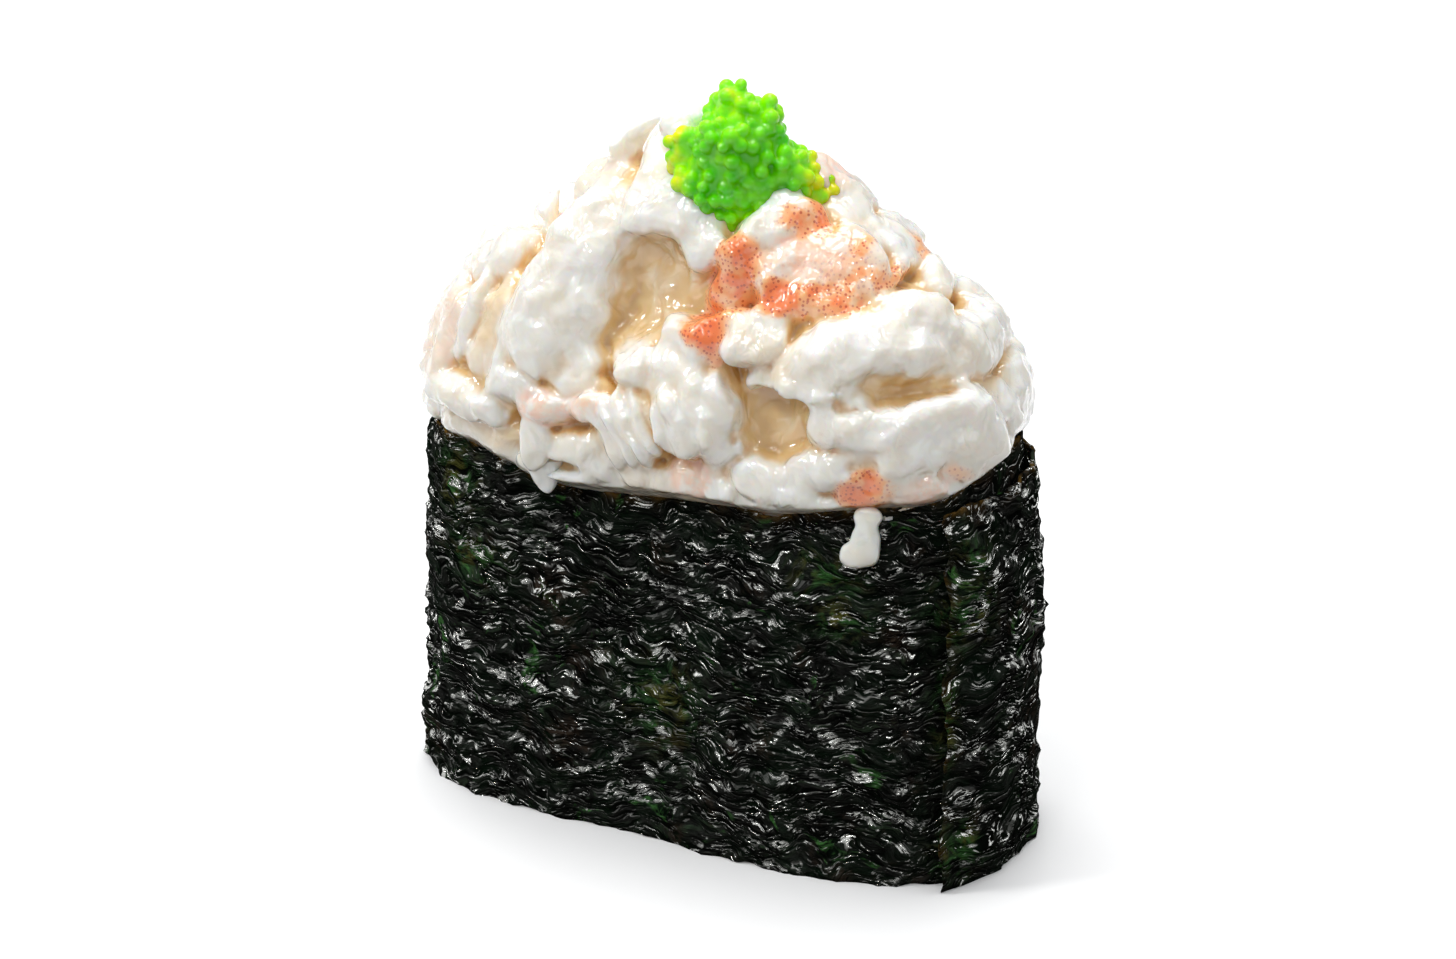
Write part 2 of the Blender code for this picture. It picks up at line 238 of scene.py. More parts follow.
def heap_point(bearing, height):
    """A point of the heap's envelope in mm, by its bearing on the oval in radians and its height."""
    rise = np.clip((height - HEAP_SHOULDER) / (HEAP_TOP - HEAP_SHOULDER), 0, 1)
    share = 1 - rise**HEAP_TAPER
    c, s = math.cos(bearing), math.sin(bearing)
    reach = (abs(c) ** WALL_SQUARENESS + abs(s) ** WALL_SQUARENESS) ** (-1 / WALL_SQUARENESS) * share
    return np.array([HEAP_HALF_LENGTH * reach * c, HEAP_HALF_WIDTH * reach * s, height])


def heap_axes(bearing, height):
    """Sideways, upwards and outwards directions on the heap's envelope, as the rows of a matrix."""
    height = min(height, HEAP_TOP - 1.5)
    here = heap_point(bearing, height)
    aside = heap_point(bearing + 0.02, height) - here
    aside /= np.linalg.norm(aside)
    upwards = heap_point(bearing, height + 0.2) - here
    outwards = np.cross(aside, upwards)
    outwards /= np.linalg.norm(outwards)
    return np.stack([aside, np.cross(outwards, aside), outwards])


def node_bearing(node):
    """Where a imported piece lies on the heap: its bearing in degrees and its height in mm."""
    low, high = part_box(node)
    centre = (np.array(low) + np.array(high)) / 2 / MM
    bearing = math.atan2(centre[1] / HEAP_HALF_WIDTH, centre[0] / HEAP_HALF_LENGTH)
    return math.degrees(bearing), centre[2]


# ---------------------------------------------------------------- skins from fields


class Field:
    """A box of evenly spaced distances in mm: below zero inside the food, above zero in the air."""

    def __init__(self, low, high, step):
        self.low, self.step = np.array(low, float), step
        self.shape = tuple(int(math.ceil((b - a) / step)) + 1 for a, b in zip(low, high))
        self.axes = [low[k] + step * np.arange(self.shape[k]) for k in range(3)]
        self.bend = np.zeros(self.shape + (3,), np.float32)
        self.distance = np.full(self.shape, 9.0, np.float32)

    def bend_space(self, amount, size, seed):
        """Shifts every point by a slow random swell, so that plain forms come out irregular."""
        coarse_axes = [np.linspace(a[0], a[-1], max(3, int((a[-1] - a[0]) / (size / 3)))) for a in self.axes]
        mesh = np.stack(np.meshgrid(*coarse_axes, indexing="ij"), axis=-1)
        for part in range(3):
            values = swells(mesh.reshape(-1, 3), size, seed + part).reshape(mesh.shape[:3])
            for axis in range(3):
                place = np.interp(self.axes[axis], coarse_axes[axis], np.arange(len(coarse_axes[axis])))
                low = np.minimum(place.astype(int), len(coarse_axes[axis]) - 2)
                share = (place - low).reshape([-1 if k == axis else 1 for k in range(3)])
                values = np.take(values, low, axis) * (1 - share) + np.take(values, low + 1, axis) * share
            self.bend[..., part] += (values * amount).astype(np.float32)

    def window(self, centre, radius):
        """The slices of the box within a radius of a point, or None when it is outside."""
        slices = []
        for axis in range(3):
            start = max(0, int((centre[axis] - radius - self.low[axis]) / self.step))
            stop = min(self.shape[axis], int((centre[axis] + radius - self.low[axis]) / self.step) + 2)
            if start >= stop:
                return None
            slices.append(slice(start, stop))
        return tuple(slices)

    def points(self, window=(slice(None),) * 3):
        grid = np.stack(np.meshgrid(*[a[w] for a, w in zip(self.axes, window)], indexing="ij"), axis=-1)
        return (grid + self.bend[window]).astype(np.float32)

    def near_surface(self, reach):
        """Indices of the samples within a reach of the skin, and their points without the bend."""
        index = np.nonzero(np.abs(self.distance) < reach)
        return index, np.stack([self.axes[k][index[k]] for k in range(3)], axis=1).astype(np.float32)

    def fullness(self, radius):
        """How much food is within a radius of each sample, from 0 to 1: over a half in a hollow."""
        full = (self.distance < 0).astype(np.float32)
        width = max(1, int(round(radius / self.step)))
        for axis in range(3):
            pad = [(width + 1, width) if k == axis else (0, 0) for k in range(3)]
            total = np.cumsum(np.pad(full, pad, mode="edge"), axis=axis, dtype=np.float32)
            size = full.shape[axis]
            upper = np.take(total, np.arange(size) + 2 * width + 1, axis)
            full = (upper - np.take(total, np.arange(size), axis)) / (2 * width + 1)
        return full

    def at(self, values, points):
        """Values of a sampled box at points in mm, evenly blended between the samples."""
        place = np.clip((points - self.low) / self.step, 0, np.array(self.shape) - 1.001)
        low = place.astype(int)
        part = place - low
        total = np.zeros(len(points))
        for corner in itertools.product((0, 1), repeat=3):
            index = low + corner
            weight = np.prod(np.where(corner, part, 1 - part), axis=1)
            total += weight * values[index[:, 0], index[:, 1], index[:, 2]]
        return total

    def skin(self):
        """Vertices in mm and four-sided faces of the zero surface: one vertex in each cell that it crosses."""
        value = self.distance
        inside = value < 0
        size = tuple(n - 1 for n in self.shape)

        def corner(offset):
            return tuple(slice(o, o + n) for o, n in zip(offset, size))

        corners = list(itertools.product((0, 1), repeat=3))
        count = sum(inside[corner(offset)].astype(np.int8) for offset in corners)
        cells = np.nonzero((count > 0) & (count < 8))
        number = np.full(size, -1, np.int64)
        number[cells] = np.arange(len(cells[0]))
        total, crossings = np.zeros((len(cells[0]), 3)), np.zeros(len(cells[0]))
        for start in corners:
            for axis in range(3):
                if start[axis]:
                    continue
                end = tuple(o + (k == axis) for k, o in enumerate(start))
                first = value[tuple(c + o for c, o in zip(cells, start))]
                second = value[tuple(c + o for c, o in zip(cells, end))]
                crossed = (first < 0) != (second < 0)
                share = np.where(crossed, first / np.where(crossed, first - second, 1), 0)
                place = np.tile(np.array(start, float), (len(share), 1))
                place[:, axis] += share
                total += place * crossed[:, None]
                crossings += crossed
        vertices = self.low + (np.stack(cells, axis=1) + total / crossings[:, None]) * self.step
        faces = []
        for axis in range(3):
            one, two = [k for k in range(3) if k != axis]
            near = tuple(slice(1, -1) if k != axis else slice(0, -1) for k in range(3))
            far = tuple(slice(1, -1) if k != axis else slice(1, None) for k in range(3))
            a, b = inside[near], inside[far]
            place = np.nonzero(a != b)
            base = [p + (k != axis) for k, p in enumerate(place)]
            quad = []
            for back_one, back_two in ((1, 1), (0, 1), (0, 0), (1, 0)):
                cell = [p - (back_one if k == one else back_two if k == two else 0) for k, p in enumerate(base)]
                quad.append(number[tuple(cell)])
            quad = np.stack(quad, axis=1)
            outward = a[place] if axis != 1 else ~a[place]
            quad[~outward] = quad[~outward][:, ::-1]
            faces.append(quad)
        return vertices, np.concatenate(faces)


def form_distance(points, form):
    """Distance in mm from points to a soft lump: an ellipsoid that may taper, curl and carry fibres."""
    local = (points - form["centre"]) @ form["axes"].T
    halves = form["halves"]
    share = np.clip(local[..., 1] / halves[1], -1.3, 1.3)
    if form["taper"]:
        width = np.clip(1 - form["taper"] * share, 0.2, 2.0)
        local = np.stack([local[..., 0] / width, local[..., 1], local[..., 2] / width], axis=-1)
    if form["curl"]:
        local[..., 2] += form["curl"] * share * share
    scaled = np.abs(local / halves)
    square = form["square"]
    flat = (scaled[..., 0] ** square + scaled[..., 1] ** square) ** (1 / square)
    near = (flat**FORM_FLATNESS + scaled[..., 2] ** FORM_FLATNESS) ** (1 / FORM_FLATNESS)
    steep = np.sqrt(((scaled / halves) ** 2).sum(axis=-1))
    distance = near * (near - 1) / np.maximum(steep, 1e-3)
    if form["fibres"]:
        phase = local[..., 0] * 2 * math.pi / form["fibres"] + 0.9 * np.sin(local[..., 1] * 0.9)
        distance = distance + 0.15 * np.cos(phase)
    return distance


def add_form(field, form):
    """Blends a lump into the field, or presses a hollow into it."""
    reach = float(np.linalg.norm(form["halves"])) * 1.25 + 2.5
    window = field.window(form["centre"], reach)
    if window is None:
        return
    distance = form_distance(field.points(window), form)
    old = field.distance[window]
    if form["hollow"]:
        field.distance[window] = -blend_least(-old, distance, form["blend"])
    else:
        field.distance[window] = blend_least(old, distance, form["blend"])


def add_forms(field, forms, fillet):
    """Joins lumps to each other in crisp creases, then to what is already there in a soft fillet."""
    body = field.distance
    field.distance = np.full(field.shape, 9.0, np.float32)
    for form in forms:
        if not form["hollow"] and not form["paint"]:
            add_form(field, form)
    field.distance = blend_least(body, field.distance, fillet)
    for form in forms:
        if form["hollow"]:
            add_form(field, form)


def heap_form(node, turn, lift, sink, halves, roll=0, lean=0, yaw=0, **options):
    """A lump on the heap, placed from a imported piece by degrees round, mm up and mm below the envelope.

    It is rolled on the heap, its top leans out and its right side yaws out, all in degrees.
    """
    bearing, height = node_bearing(node)
    bearing, height = math.radians(bearing + turn), height + lift
    axes = heap_axes(bearing, height)
    centre = heap_point(bearing, height) - axes[2] * (sink + FORM_SINK)
    spin, tip = math.radians(roll), math.radians(lean)
    aside = math.cos(spin) * axes[0] + math.sin(spin) * axes[1]
    upwards = -math.sin(spin) * axes[0] + math.cos(spin) * axes[1]
    upwards, outwards = (
        math.cos(tip) * upwards + math.sin(tip) * axes[2],
        math.cos(tip) * axes[2] - math.sin(tip) * upwards,
    )
    swing = math.radians(yaw)
    aside, outwards = (
        math.cos(swing) * aside + math.sin(swing) * outwards,
        math.cos(swing) * outwards - math.sin(swing) * aside,
    )
    form = {"taper": 0.0, "curl": 0.0, "fibres": 0.0, "blend": 0.4, "hollow": False, "square": 2.5}
    # shares of pink and orange skin and of painted ochre shade, which only colour the lump
    form.update({"pink": 0.0, "orange": 0.0, "ochre": 0.0, "paint": 0.0})
    form.update(options)
    form["centre"], form["axes"] = centre, np.stack([aside, upwards, outwards])
    form["halves"] = np.array(halves, float)
    return form


# ---------------------------------------------------------------- meshes, nodes and materials


def looks_collection():
    found = bpy.data.collections.get(COLLECTION)
    if found is None:
        found = bpy.data.collections.new(COLLECTION)
        bpy.context.scene.collection.children.link(found)
    return found


def make_object(name, mesh):
    thing = bpy.data.objects.new(name, mesh)
    looks_collection().objects.link(thing)
    return thing


def make_mesh(name, vertices, faces):
    """A smooth mesh in metres from vertices in mm and quads."""
    mesh = bpy.data.meshes.new(name)
    mesh.vertices.add(len(vertices))
    mesh.vertices.foreach_set("co", (np.asarray(vertices, np.float32) * MM).ravel())
    mesh.loops.add(faces.size)
    mesh.loops.foreach_set("vertex_index", faces.astype(np.int32).ravel())
    mesh.polygons.add(len(faces))
    mesh.polygons.foreach_set("loop_start", np.arange(0, faces.size, faces.shape[1], dtype=np.int32))
    mesh.polygons.foreach_set("loop_total", np.full(len(faces), faces.shape[1], np.int32))
    mesh.update(calc_edges=True)
    mesh.validate()
    mesh.shade_smooth()
    return mesh


def close_holes(mesh):
    """Caps every open edge loop with flat faces and turns all faces outwards."""
    bm = bmesh.new()
    bm.from_mesh(mesh)
    bmesh.ops.holes_fill(bm, edges=[e for e in bm.edges if e.is_boundary], sides=0)
    bmesh.ops.triangulate(bm, faces=[f for f in bm.faces if len(f.verts) > 4])
    bmesh.ops.recalc_face_normals(bm, faces=bm.faces)
    bm.to_mesh(mesh)
    bm.free()


def set_attribute(mesh, name, values):
    attribute = mesh.attributes.new(name, "FLOAT", "POINT")
    attribute.data.foreach_set("value", np.asarray(values, np.float32))


def finish_piece(thing, slot, *nodes):
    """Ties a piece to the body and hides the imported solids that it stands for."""
    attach(thing, BODY)
    if nodes:
        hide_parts(*nodes)


class Wiring:
    """Adds and links shader or geometry nodes in one tree."""

    def __init__(self, tree):
        self.tree = tree

    def add(self, kind, inputs=None, output=0, **settings):
        node = self.tree.nodes.new(kind)
        for name, value in settings.items():
            setattr(node, name, value)
        for name, value in (inputs or {}).items():
            self.put(node.inputs[name], value)
        return node if output is None else node.outputs[output]

    def put(self, socket, value):
        if isinstance(value, bpy.types.NodeSocket):
            self.tree.links.new(value, socket)
        else:
            socket.default_value = value

    def math(self, operation, first, second=0.0, third=0.0, clamp=False):
        kind = "ShaderNodeMath"
        return self.add(kind, {0: first, 1: second, 2: third}, operation=operation, use_clamp=clamp)

    def band(self, value, low, high, smooth=True):
        """0 below low, 1 above high."""
        settings = {"interpolation_type": "SMOOTHSTEP"} if smooth else {}
        return self.add("ShaderNodeMapRange", {"Value": value, "From Min": low, "From Max": high}, **settings)

    def noise(self, vector, scale, detail=3.0, roughness=0.55, distortion=0.0, kind="FBM"):
        values = {"Vector": vector, "Scale": scale, "Detail": detail, "Roughness": roughness}
        values["Distortion"] = distortion
        return self.add("ShaderNodeTexNoise", values, noise_type=kind)

    def mix(self, share, first, second):
        node = self.add("ShaderNodeMix", output=None, data_type="RGBA", clamp_factor=True)
        self.put(node.inputs[0], share)
        self.put(node.inputs[6], first)
        self.put(node.inputs[7], second)
        return node.outputs[2]

    def attribute(self, name):
        return self.add("ShaderNodeAttribute", output=2, attribute_name=name)


def new_material(name):
    material = bpy.data.materials.new(name)
    material.use_nodes = True
    material.node_tree.nodes.clear()
    wiring = Wiring(material.node_tree)
    shader = wiring.add("ShaderNodeBsdfPrincipled", output=None)
    wiring.add("ShaderNodeOutputMaterial", {"Surface": shader.outputs[0]}, output=None)
    return material, wiring, shader


def rgba(colour):
    return (*colour[:3], 1.0)


# ---------------------------------------------------------------- crab salad


def salad_forms():
    """The lumps of the heap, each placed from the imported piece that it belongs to."""
    left, crown, centre, orange = "crab_left", "crab_crown", "crab_centre", "crab_orange"
    pink, flake, right, lobe = "crab_pink", "crab_flake", "crab_right", "crab_lobe"
    shoulder, peak, far_left = "crab_shoulder", "crab_peak", "crab_far_left"
    rim_left, rim_front, rim_right = "crab_rim_left", "crab_rim_front", "crab_rim_right"
    make = heap_form
    # an ochre share paints warm shade on a lump: on its underside, in a hollow or on its shaded side
    return [
        # the large chunk on the left, its lower end and the smooth cap above it
        make(left, 5, 2.4, 1.3, (4.0, 8.4, 3.2), roll=-15, yaw=-14, square=2.8),
        make(left, -2, 0.6, 0.9, (1.7, 7.2, 1.9), roll=-12, yaw=-10),
        make(left, 10, -3.0, 0.9, (3.8, 2.6, 1.7), roll=-22, lean=-14, square=3.4),
        make(left, 14, -5.6, 1.2, (3.4, 1.7, 1.5), ochre=0.5, orange=0.12),
        make(left, -6, 9.0, 0.9, (4.2, 2.8, 1.5), roll=-26, lean=10, ochre=0.25),
        make(left, 6, 8.2, 1.2, (4.0, 3.6, 2.2), roll=-10, ochre=0.5),
        make(left, 23, 2.4, -0.5, (2.2, 5.2, 1.7), roll=-14, hollow=True, blend=1.8),
        # the glossy crown left of the roe, with its spike and the lump behind
        make(crown, 17, 0.4, 0.6, (5.0, 4.2, 2.6), roll=-8, lean=-16, yaw=-12, square=3.0),
        make(crown, -1, 0.8, 0.2, (1.6, 4.6, 1.8), yaw=-10),
        make(crown, 34, -1.9, 0.5, (3.8, 1.3, 1.3), roll=-24),
        make(crown, -46, 3.8, -0.8, (0.9, 2.6, 0.85), roll=4, taper=0.5, blend=0.8),
        make(crown, -14, 6.0, -0.6, (1.6, 2.2, 1.4), roll=-12),
        # the ridged white lump in the middle
        make(centre, 0, 2.2, 0.1, (2.0, 3.4, 2.0), roll=6, yaw=-12),
        make(centre, 11, 3.7, 0.2, (3.0, 1.4, 1.5), roll=-18, lean=-10),
        make(centre, 9, 1.2, 0.6, (3.0, 3.0, 2.0), roll=14),
        make(centre, 14, -1.4, 0.3, (3.3, 4.0, 2.3), roll=18, lean=-12, square=2.8, fibres=2.1),
        make(centre, 18, -4.9, 0.0, (1.6, 1.9, 1.2), taper=-0.4),
        make(centre, 1, -4.2, 0.3, (3.2, 3.0, 1.8), roll=30, square=2.8, fibres=1.3),
        make(centre, -6, -7.2, 0.6, (2.9, 1.9, 1.5), roll=-20),
        make(centre, 5, -7.9, 0.7, (3.1, 1.4, 1.3), ochre=0.5),
        make(centre, 29, -1.2, 0.0, (2.4, 2.8, 1.7), hollow=True, blend=1.4),
        # the orange strip
        make(orange, 4, 2.6, 0.7, (1.9, 3.1, 1.5), roll=-28, orange=0.55, blend=0.3),
        make(orange, 0, -1.1, -0.3, (1.25, 3.1, 1.3), roll=-58, orange=1.0, taper=0.3, blend=0.2, square=3.0),
        make(orange, -1, -2.6, -0.1, (1.1, 1.6, 1.0), taper=-0.5, orange=1.0, blend=0.2),
        # the pink piece with its speckled border and the white ridge in front of the roe
        make(pink, -10, 1.2, 1.0, (5.6, 4.0, 1.9), pink=0.4, orange=0.35),
        make(pink, -12, 2.0, 0.6, (3.0, 2.6, 1.6), pink=0.75, orange=0.1),
        make(pink, -16, -0.9, 0.3, (3.9, 1.2, 1.3), roll=9, orange=0.72),
        make(pink, -2, 1.6, 0.4, (1.4, 3.5, 1.3), roll=-16, orange=0.5),
        make(pink, -7, 4.6, 0.4, (2.2, 1.5, 1.3), orange=0.42),
        make(pink, -23, 3.4, -0.1, (1.5, 4.0, 1.6), roll=-40, yaw=-12),
        make(pink, -9, 5.6, -0.3, (1.0, 1.7, 1.0), roll=-30, taper=0.5),
        make(pink, -5, -2.9, 0.9, (7.6, 2.3, 1.6), roll=24, ochre=0.45, orange=0.12),
        # bare skin and meat round the pink piece, and painted shade below it, which only tint what is there
        make(pink, -33, 0.9, 0.4, (1.5, 2.7, 2.4), roll=-24, orange=0.85, paint=3.0),
        make(pink, -10, 1.8, 0.4, (3.4, 2.6, 2.4), orange=0.3, pink=0.7, paint=1.0),
        make(pink, -17, -0.6, 0.4, (3.6, 1.4, 2.4), roll=10, orange=0.8, paint=2.0),
        make(pink, -6, 4.4, 0.4, (2.2, 1.6, 2.4), orange=0.62, paint=2.0),
        make(pink, 3, 0.8, 0.4, (1.3, 2.8, 2.4), roll=-14, orange=0.62, paint=2.0),
        make(pink, -30, -4.2, 0.6, (3.6, 1.6, 2.4), roll=-30, ochre=0.5, orange=0.16, paint=1.0),
        # the smooth flake
        make(flake, 0, 0.9, -0.4, (3.3, 2.3, 1.4), roll=24, lean=-18, blend=0.25, square=2.7),
        make(flake, 2, -1.7, 0.1, (1.7, 1.4, 1.0), roll=30, lean=-10, blend=0.3),
        # the large petal on the right
        make(right, -5, 2.4, 0.9, (7.0, 3.9, 3.2), roll=22, lean=8, square=2.6),
        make(right, -8, 3.9, 0.7, (6.0, 1.8, 1.9), roll=28, lean=10),
        make(right, -27, -1.0, -0.5, (1.3, 2.8, 1.3), roll=84, taper=0.55, blend=0.35),
        make(right, -16, -3.2, 0.7, (4.8, 2.3, 2.1), roll=-10),
        make(right, -2, -2.4, 0.9, (6.4, 2.6, 2.3), roll=6),
        make(right, -6, -0.3, -1.4, (3.4, 0.5, 1.3), roll=6, hollow=True, blend=1.8),
        make(right, 0, -4.4, 0.4, (4.8, 2.0, 1.7), roll=20),
        make(right, 16, -4.4, 0.2, (3.2, 2.4, 1.8)),
        make(right, 14, 1.0, 0.4, (2.8, 2.4, 2.4), ochre=0.35, paint=1.0),
        # the lobe at the right end
        make(lobe, -3, 0.9, 0.4, (5.4, 2.8, 2.6), lean=8),
        make(lobe, -17, 1.0, 0.9, (4.6, 3.0, 2.4), ochre=0.3),
        make(lobe, -9, -3.2, 0.4, (3.0, 2.0, 1.8)),
        make(lobe, 18, -3.0, 0.5, (4.2, 2.6, 2.0), roll=-10),
        # the shoulder, with an orange tip and a speckled edge
        make(shoulder, -13, 1.2, 0.5, (4.0, 2.0, 1.4), roll=6),
        make(shoulder, 27, 0.2, 0.4, (3.4, 2.6, 1.6)),
        make(shoulder, 21, -0.6, 0.0, (1.3, 1.8, 1.1), roll=20, orange=0.9, blend=0.3),
        make(shoulder, -2, -0.8, 0.3, (4.2, 0.6, 1.0), roll=12, orange=0.6),
        make(shoulder, 18, -2.7, 0.2, (2.4, 1.7, 1.5)),
        make(shoulder, -14, -2.7, 1.2, (4.6, 1.8, 1.5), ochre=0.6),
        # the peak behind the roe
        make(peak, -11, 0.2, 0.7, (2.7, 2.5, 1.8), pink=0.45, orange=0.15),
        make(peak, -27, -1.4, 0.5, (2.4, 2.1, 1.5)),
        make(peak, 14, -1.6, 0.7, (2.9, 2.6, 1.8)),
        # the cluster at the far left
        make(far_left, 21, 0.2, 0.9, (2.0, 4.2, 1.6), roll=-6, ochre=0.8),
        make(far_left, 14, 0.2, 0.1, (0.9, 4.2, 1.3), roll=-4),
        make(far_left, 4, 5.2, 0.6, (2.4, 2.1, 1.7)),
        make(far_left, -3, 3.8, 0.4, (2.0, 2.0, 1.6)),
        make(far_left, 9, -1.8, 0.5, (1.8, 4.1, 1.6), pink=0.45),
        make(far_left, 0, -0.8, 0.4, (1.8, 4.0, 1.7), pink=0.15),
        make(far_left, 9, -5.4, 0.4, (1.9, 1.5, 1.5)),
        make(far_left, -2, 9.0, -0.3, (0.6, 1.5, 0.55), taper=0.6),
        make(far_left, 22, -2.9, 0.5, (1.9, 1.4, 1.2), orange=0.35),
        make(far_left, 8, -2.2, 0.4, (2.4, 3.4, 2.4), ochre=0.4, pink=0.25, paint=1.0),
        # along the rim
        make(rim_left, 3, -0.8, 0.1, (4.3, 1.5, 1.6), roll=-6),
        make(rim_left, 6, -3.4, 0.9, (3.8, 1.5, 1.2), ochre=0.9),
        make(rim_left, 13, 1.4, 0.2, (2.9, 1.5, 1.4), roll=10),
        make(rim_left, 20, 0.6, 0.1, (2.5, 1.5, 1.5), pink=0.5),
        make(rim_left, 28, 1.0, 0.1, (2.1, 1.2, 1.3), pink=0.5),
        make(rim_left, 19, -2.9, -0.4, (1.35, 2.5, 1.0), taper=-0.35, blend=0.25, lean=-8),
        make(rim_left, 27, -2.4, 0.4, (2.9, 1.3, 1.2), roll=14, taper=0.2),
        make(rim_front, -1, -1.6, 0.5, (2.7, 1.5, 1.3), pink=0.7),
        make(rim_front, 4, -2.7, 0.0, (1.3, 1.2, 1.0)),
        make(rim_front, 13, -1.0, 0.3, (3.4, 1.6, 1.4), roll=-6),
        make(rim_front, 21, 0.9, 0.4, (3.0, 1.4, 1.4), roll=10),
        make(rim_front, 17, -2.4, 0.5, (4.0, 1.1, 1.0)),
        make(rim_right, -1, -1.1, 0.3, (3.2, 1.8, 1.4), roll=20, orange=0.75),
        make(rim_right, -5, 1.2, 0.2, (3.3, 1.0, 1.1), roll=15),
        make(rim_right, 6, -1.2, 0.4, (2.5, 1.8, 1.4), pink=0.5),
        make(rim_right, 24, 0.7, 0.4, (2.9, 1.3, 1.2), orange=0.45, pink=0.4),
    ]


def scattered_forms(seed):
    """More lumps where the heap turns away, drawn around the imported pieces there, and crumbs all round the rim."""
    draw = np.random.default_rng(seed)
    forms = []
    for node in ("crab_back_left", "crab_back_right", "crab_back_middle", "crab_back_top", "crab_left_end"):
        low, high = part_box(node)
        size = (np.array(high) - np.array(low)) / MM / 2
        wide = max(size[0], size[1])
        tint = {"pink": 0.4} if node == "crab_back_top" else {}
        forms.append(heap_form(node, 0, 1.2, 1.4, (wide * 0.7, size[2] * 0.9, 2.8), roll=draw.uniform(-25, 25), **tint))
        for _ in range(9):
            halves = (draw.uniform(1.2, 3.0), draw.uniform(1.0, 2.8), draw.uniform(0.9, 1.7))
            turn, lift = draw.uniform(-24, 24), draw.uniform(-4.5, 5.0)
            tint = {"pink": draw.uniform(0.3, 0.7)} if draw.random() < 0.2 else {}
            if draw.random() < 0.12 and node != "crab_left_end":
                tint = {"orange": draw.uniform(0.4, 0.9)}
            roll, blend = draw.uniform(-60, 60), draw.uniform(0.35, 0.7)
            sink = draw.uniform(-0.2, 0.6)
            forms.append(heap_form(node, turn, lift, sink, halves, roll=roll, blend=blend, **tint))
    for turn in np.arange(-174, 186, 7.5):
        bearing = math.radians(turn)
        height = float(rim_height(bearing / (2 * math.pi) % 1.0)) + draw.uniform(0.4, 2.6)
        halves = (draw.uniform(1.3, 2.6), draw.uniform(0.8, 1.4), draw.uniform(0.8, 1.2))
        node_turn, node_height = node_bearing("crab_salad")
        sink, roll = draw.uniform(0.3, 1.0), draw.uniform(-20, 20)
        lift = height - node_height
        forms.append(heap_form("crab_salad", turn - node_turn, lift, sink, halves, roll=roll, blend=0.6))
    return forms


def heap_core(field, sunk):
    """Distance to the heap's envelope, sunk below it by so many mm."""
    x, y, z = np.meshgrid(*[a.astype(np.float32) for a in field.axes], indexing="ij", sparse=True)
    rise = np.clip((z - HEAP_SHOULDER) / (HEAP_TOP - HEAP_SHOULDER), 0, 1)
    plan = np.abs(x / HEAP_HALF_LENGTH) ** WALL_SQUARENESS + np.abs(y / HEAP_HALF_WIDTH) ** WALL_SQUARENESS
    level = plan ** (1 / WALL_SQUARENESS) - (1 - rise**HEAP_TAPER)
    slopes = np.gradient(level, field.step)
    steep = np.sqrt(slopes[0] ** 2 + slopes[1] ** 2 + slopes[2] ** 2)
    return level / np.maximum(steep, 0.02) + sunk


def keep_inside_wall(field, clearance):
    """Keeps the salad inside the seaweed below its rim; above the rim it may lean out over it."""
    x, y = np.meshgrid(field.axes[0], field.axes[1], indexing="ij")
    plan = np.stack([x.ravel(), y.ravel()], axis=1)
    outline = OUTLINE[::4]
    nearest = np.empty(len(plan), int)
    for start in range(0, len(plan), 8192):
        part = plan[start : start + 8192]
        nearest[start : start + 8192] = ((part[:, None] - outline) ** 2).sum(axis=2).argmin(axis=1)
    outside = ((plan - outline[nearest]) * OUTWARD[::4][nearest]).sum(axis=1).reshape(x.shape)
    rim = rim_height(nearest / len(outline)).reshape(x.shape)
    for level, height in enumerate(field.axes[2]):
        limit = outside - wall_swell(height) + clearance - 1.6 * np.clip(height - rim + 0.2, 0, None)
        layer = field.distance[:, :, level]
        field.distance[:, :, level] = -blend_least(-layer, -limit, 0.3)


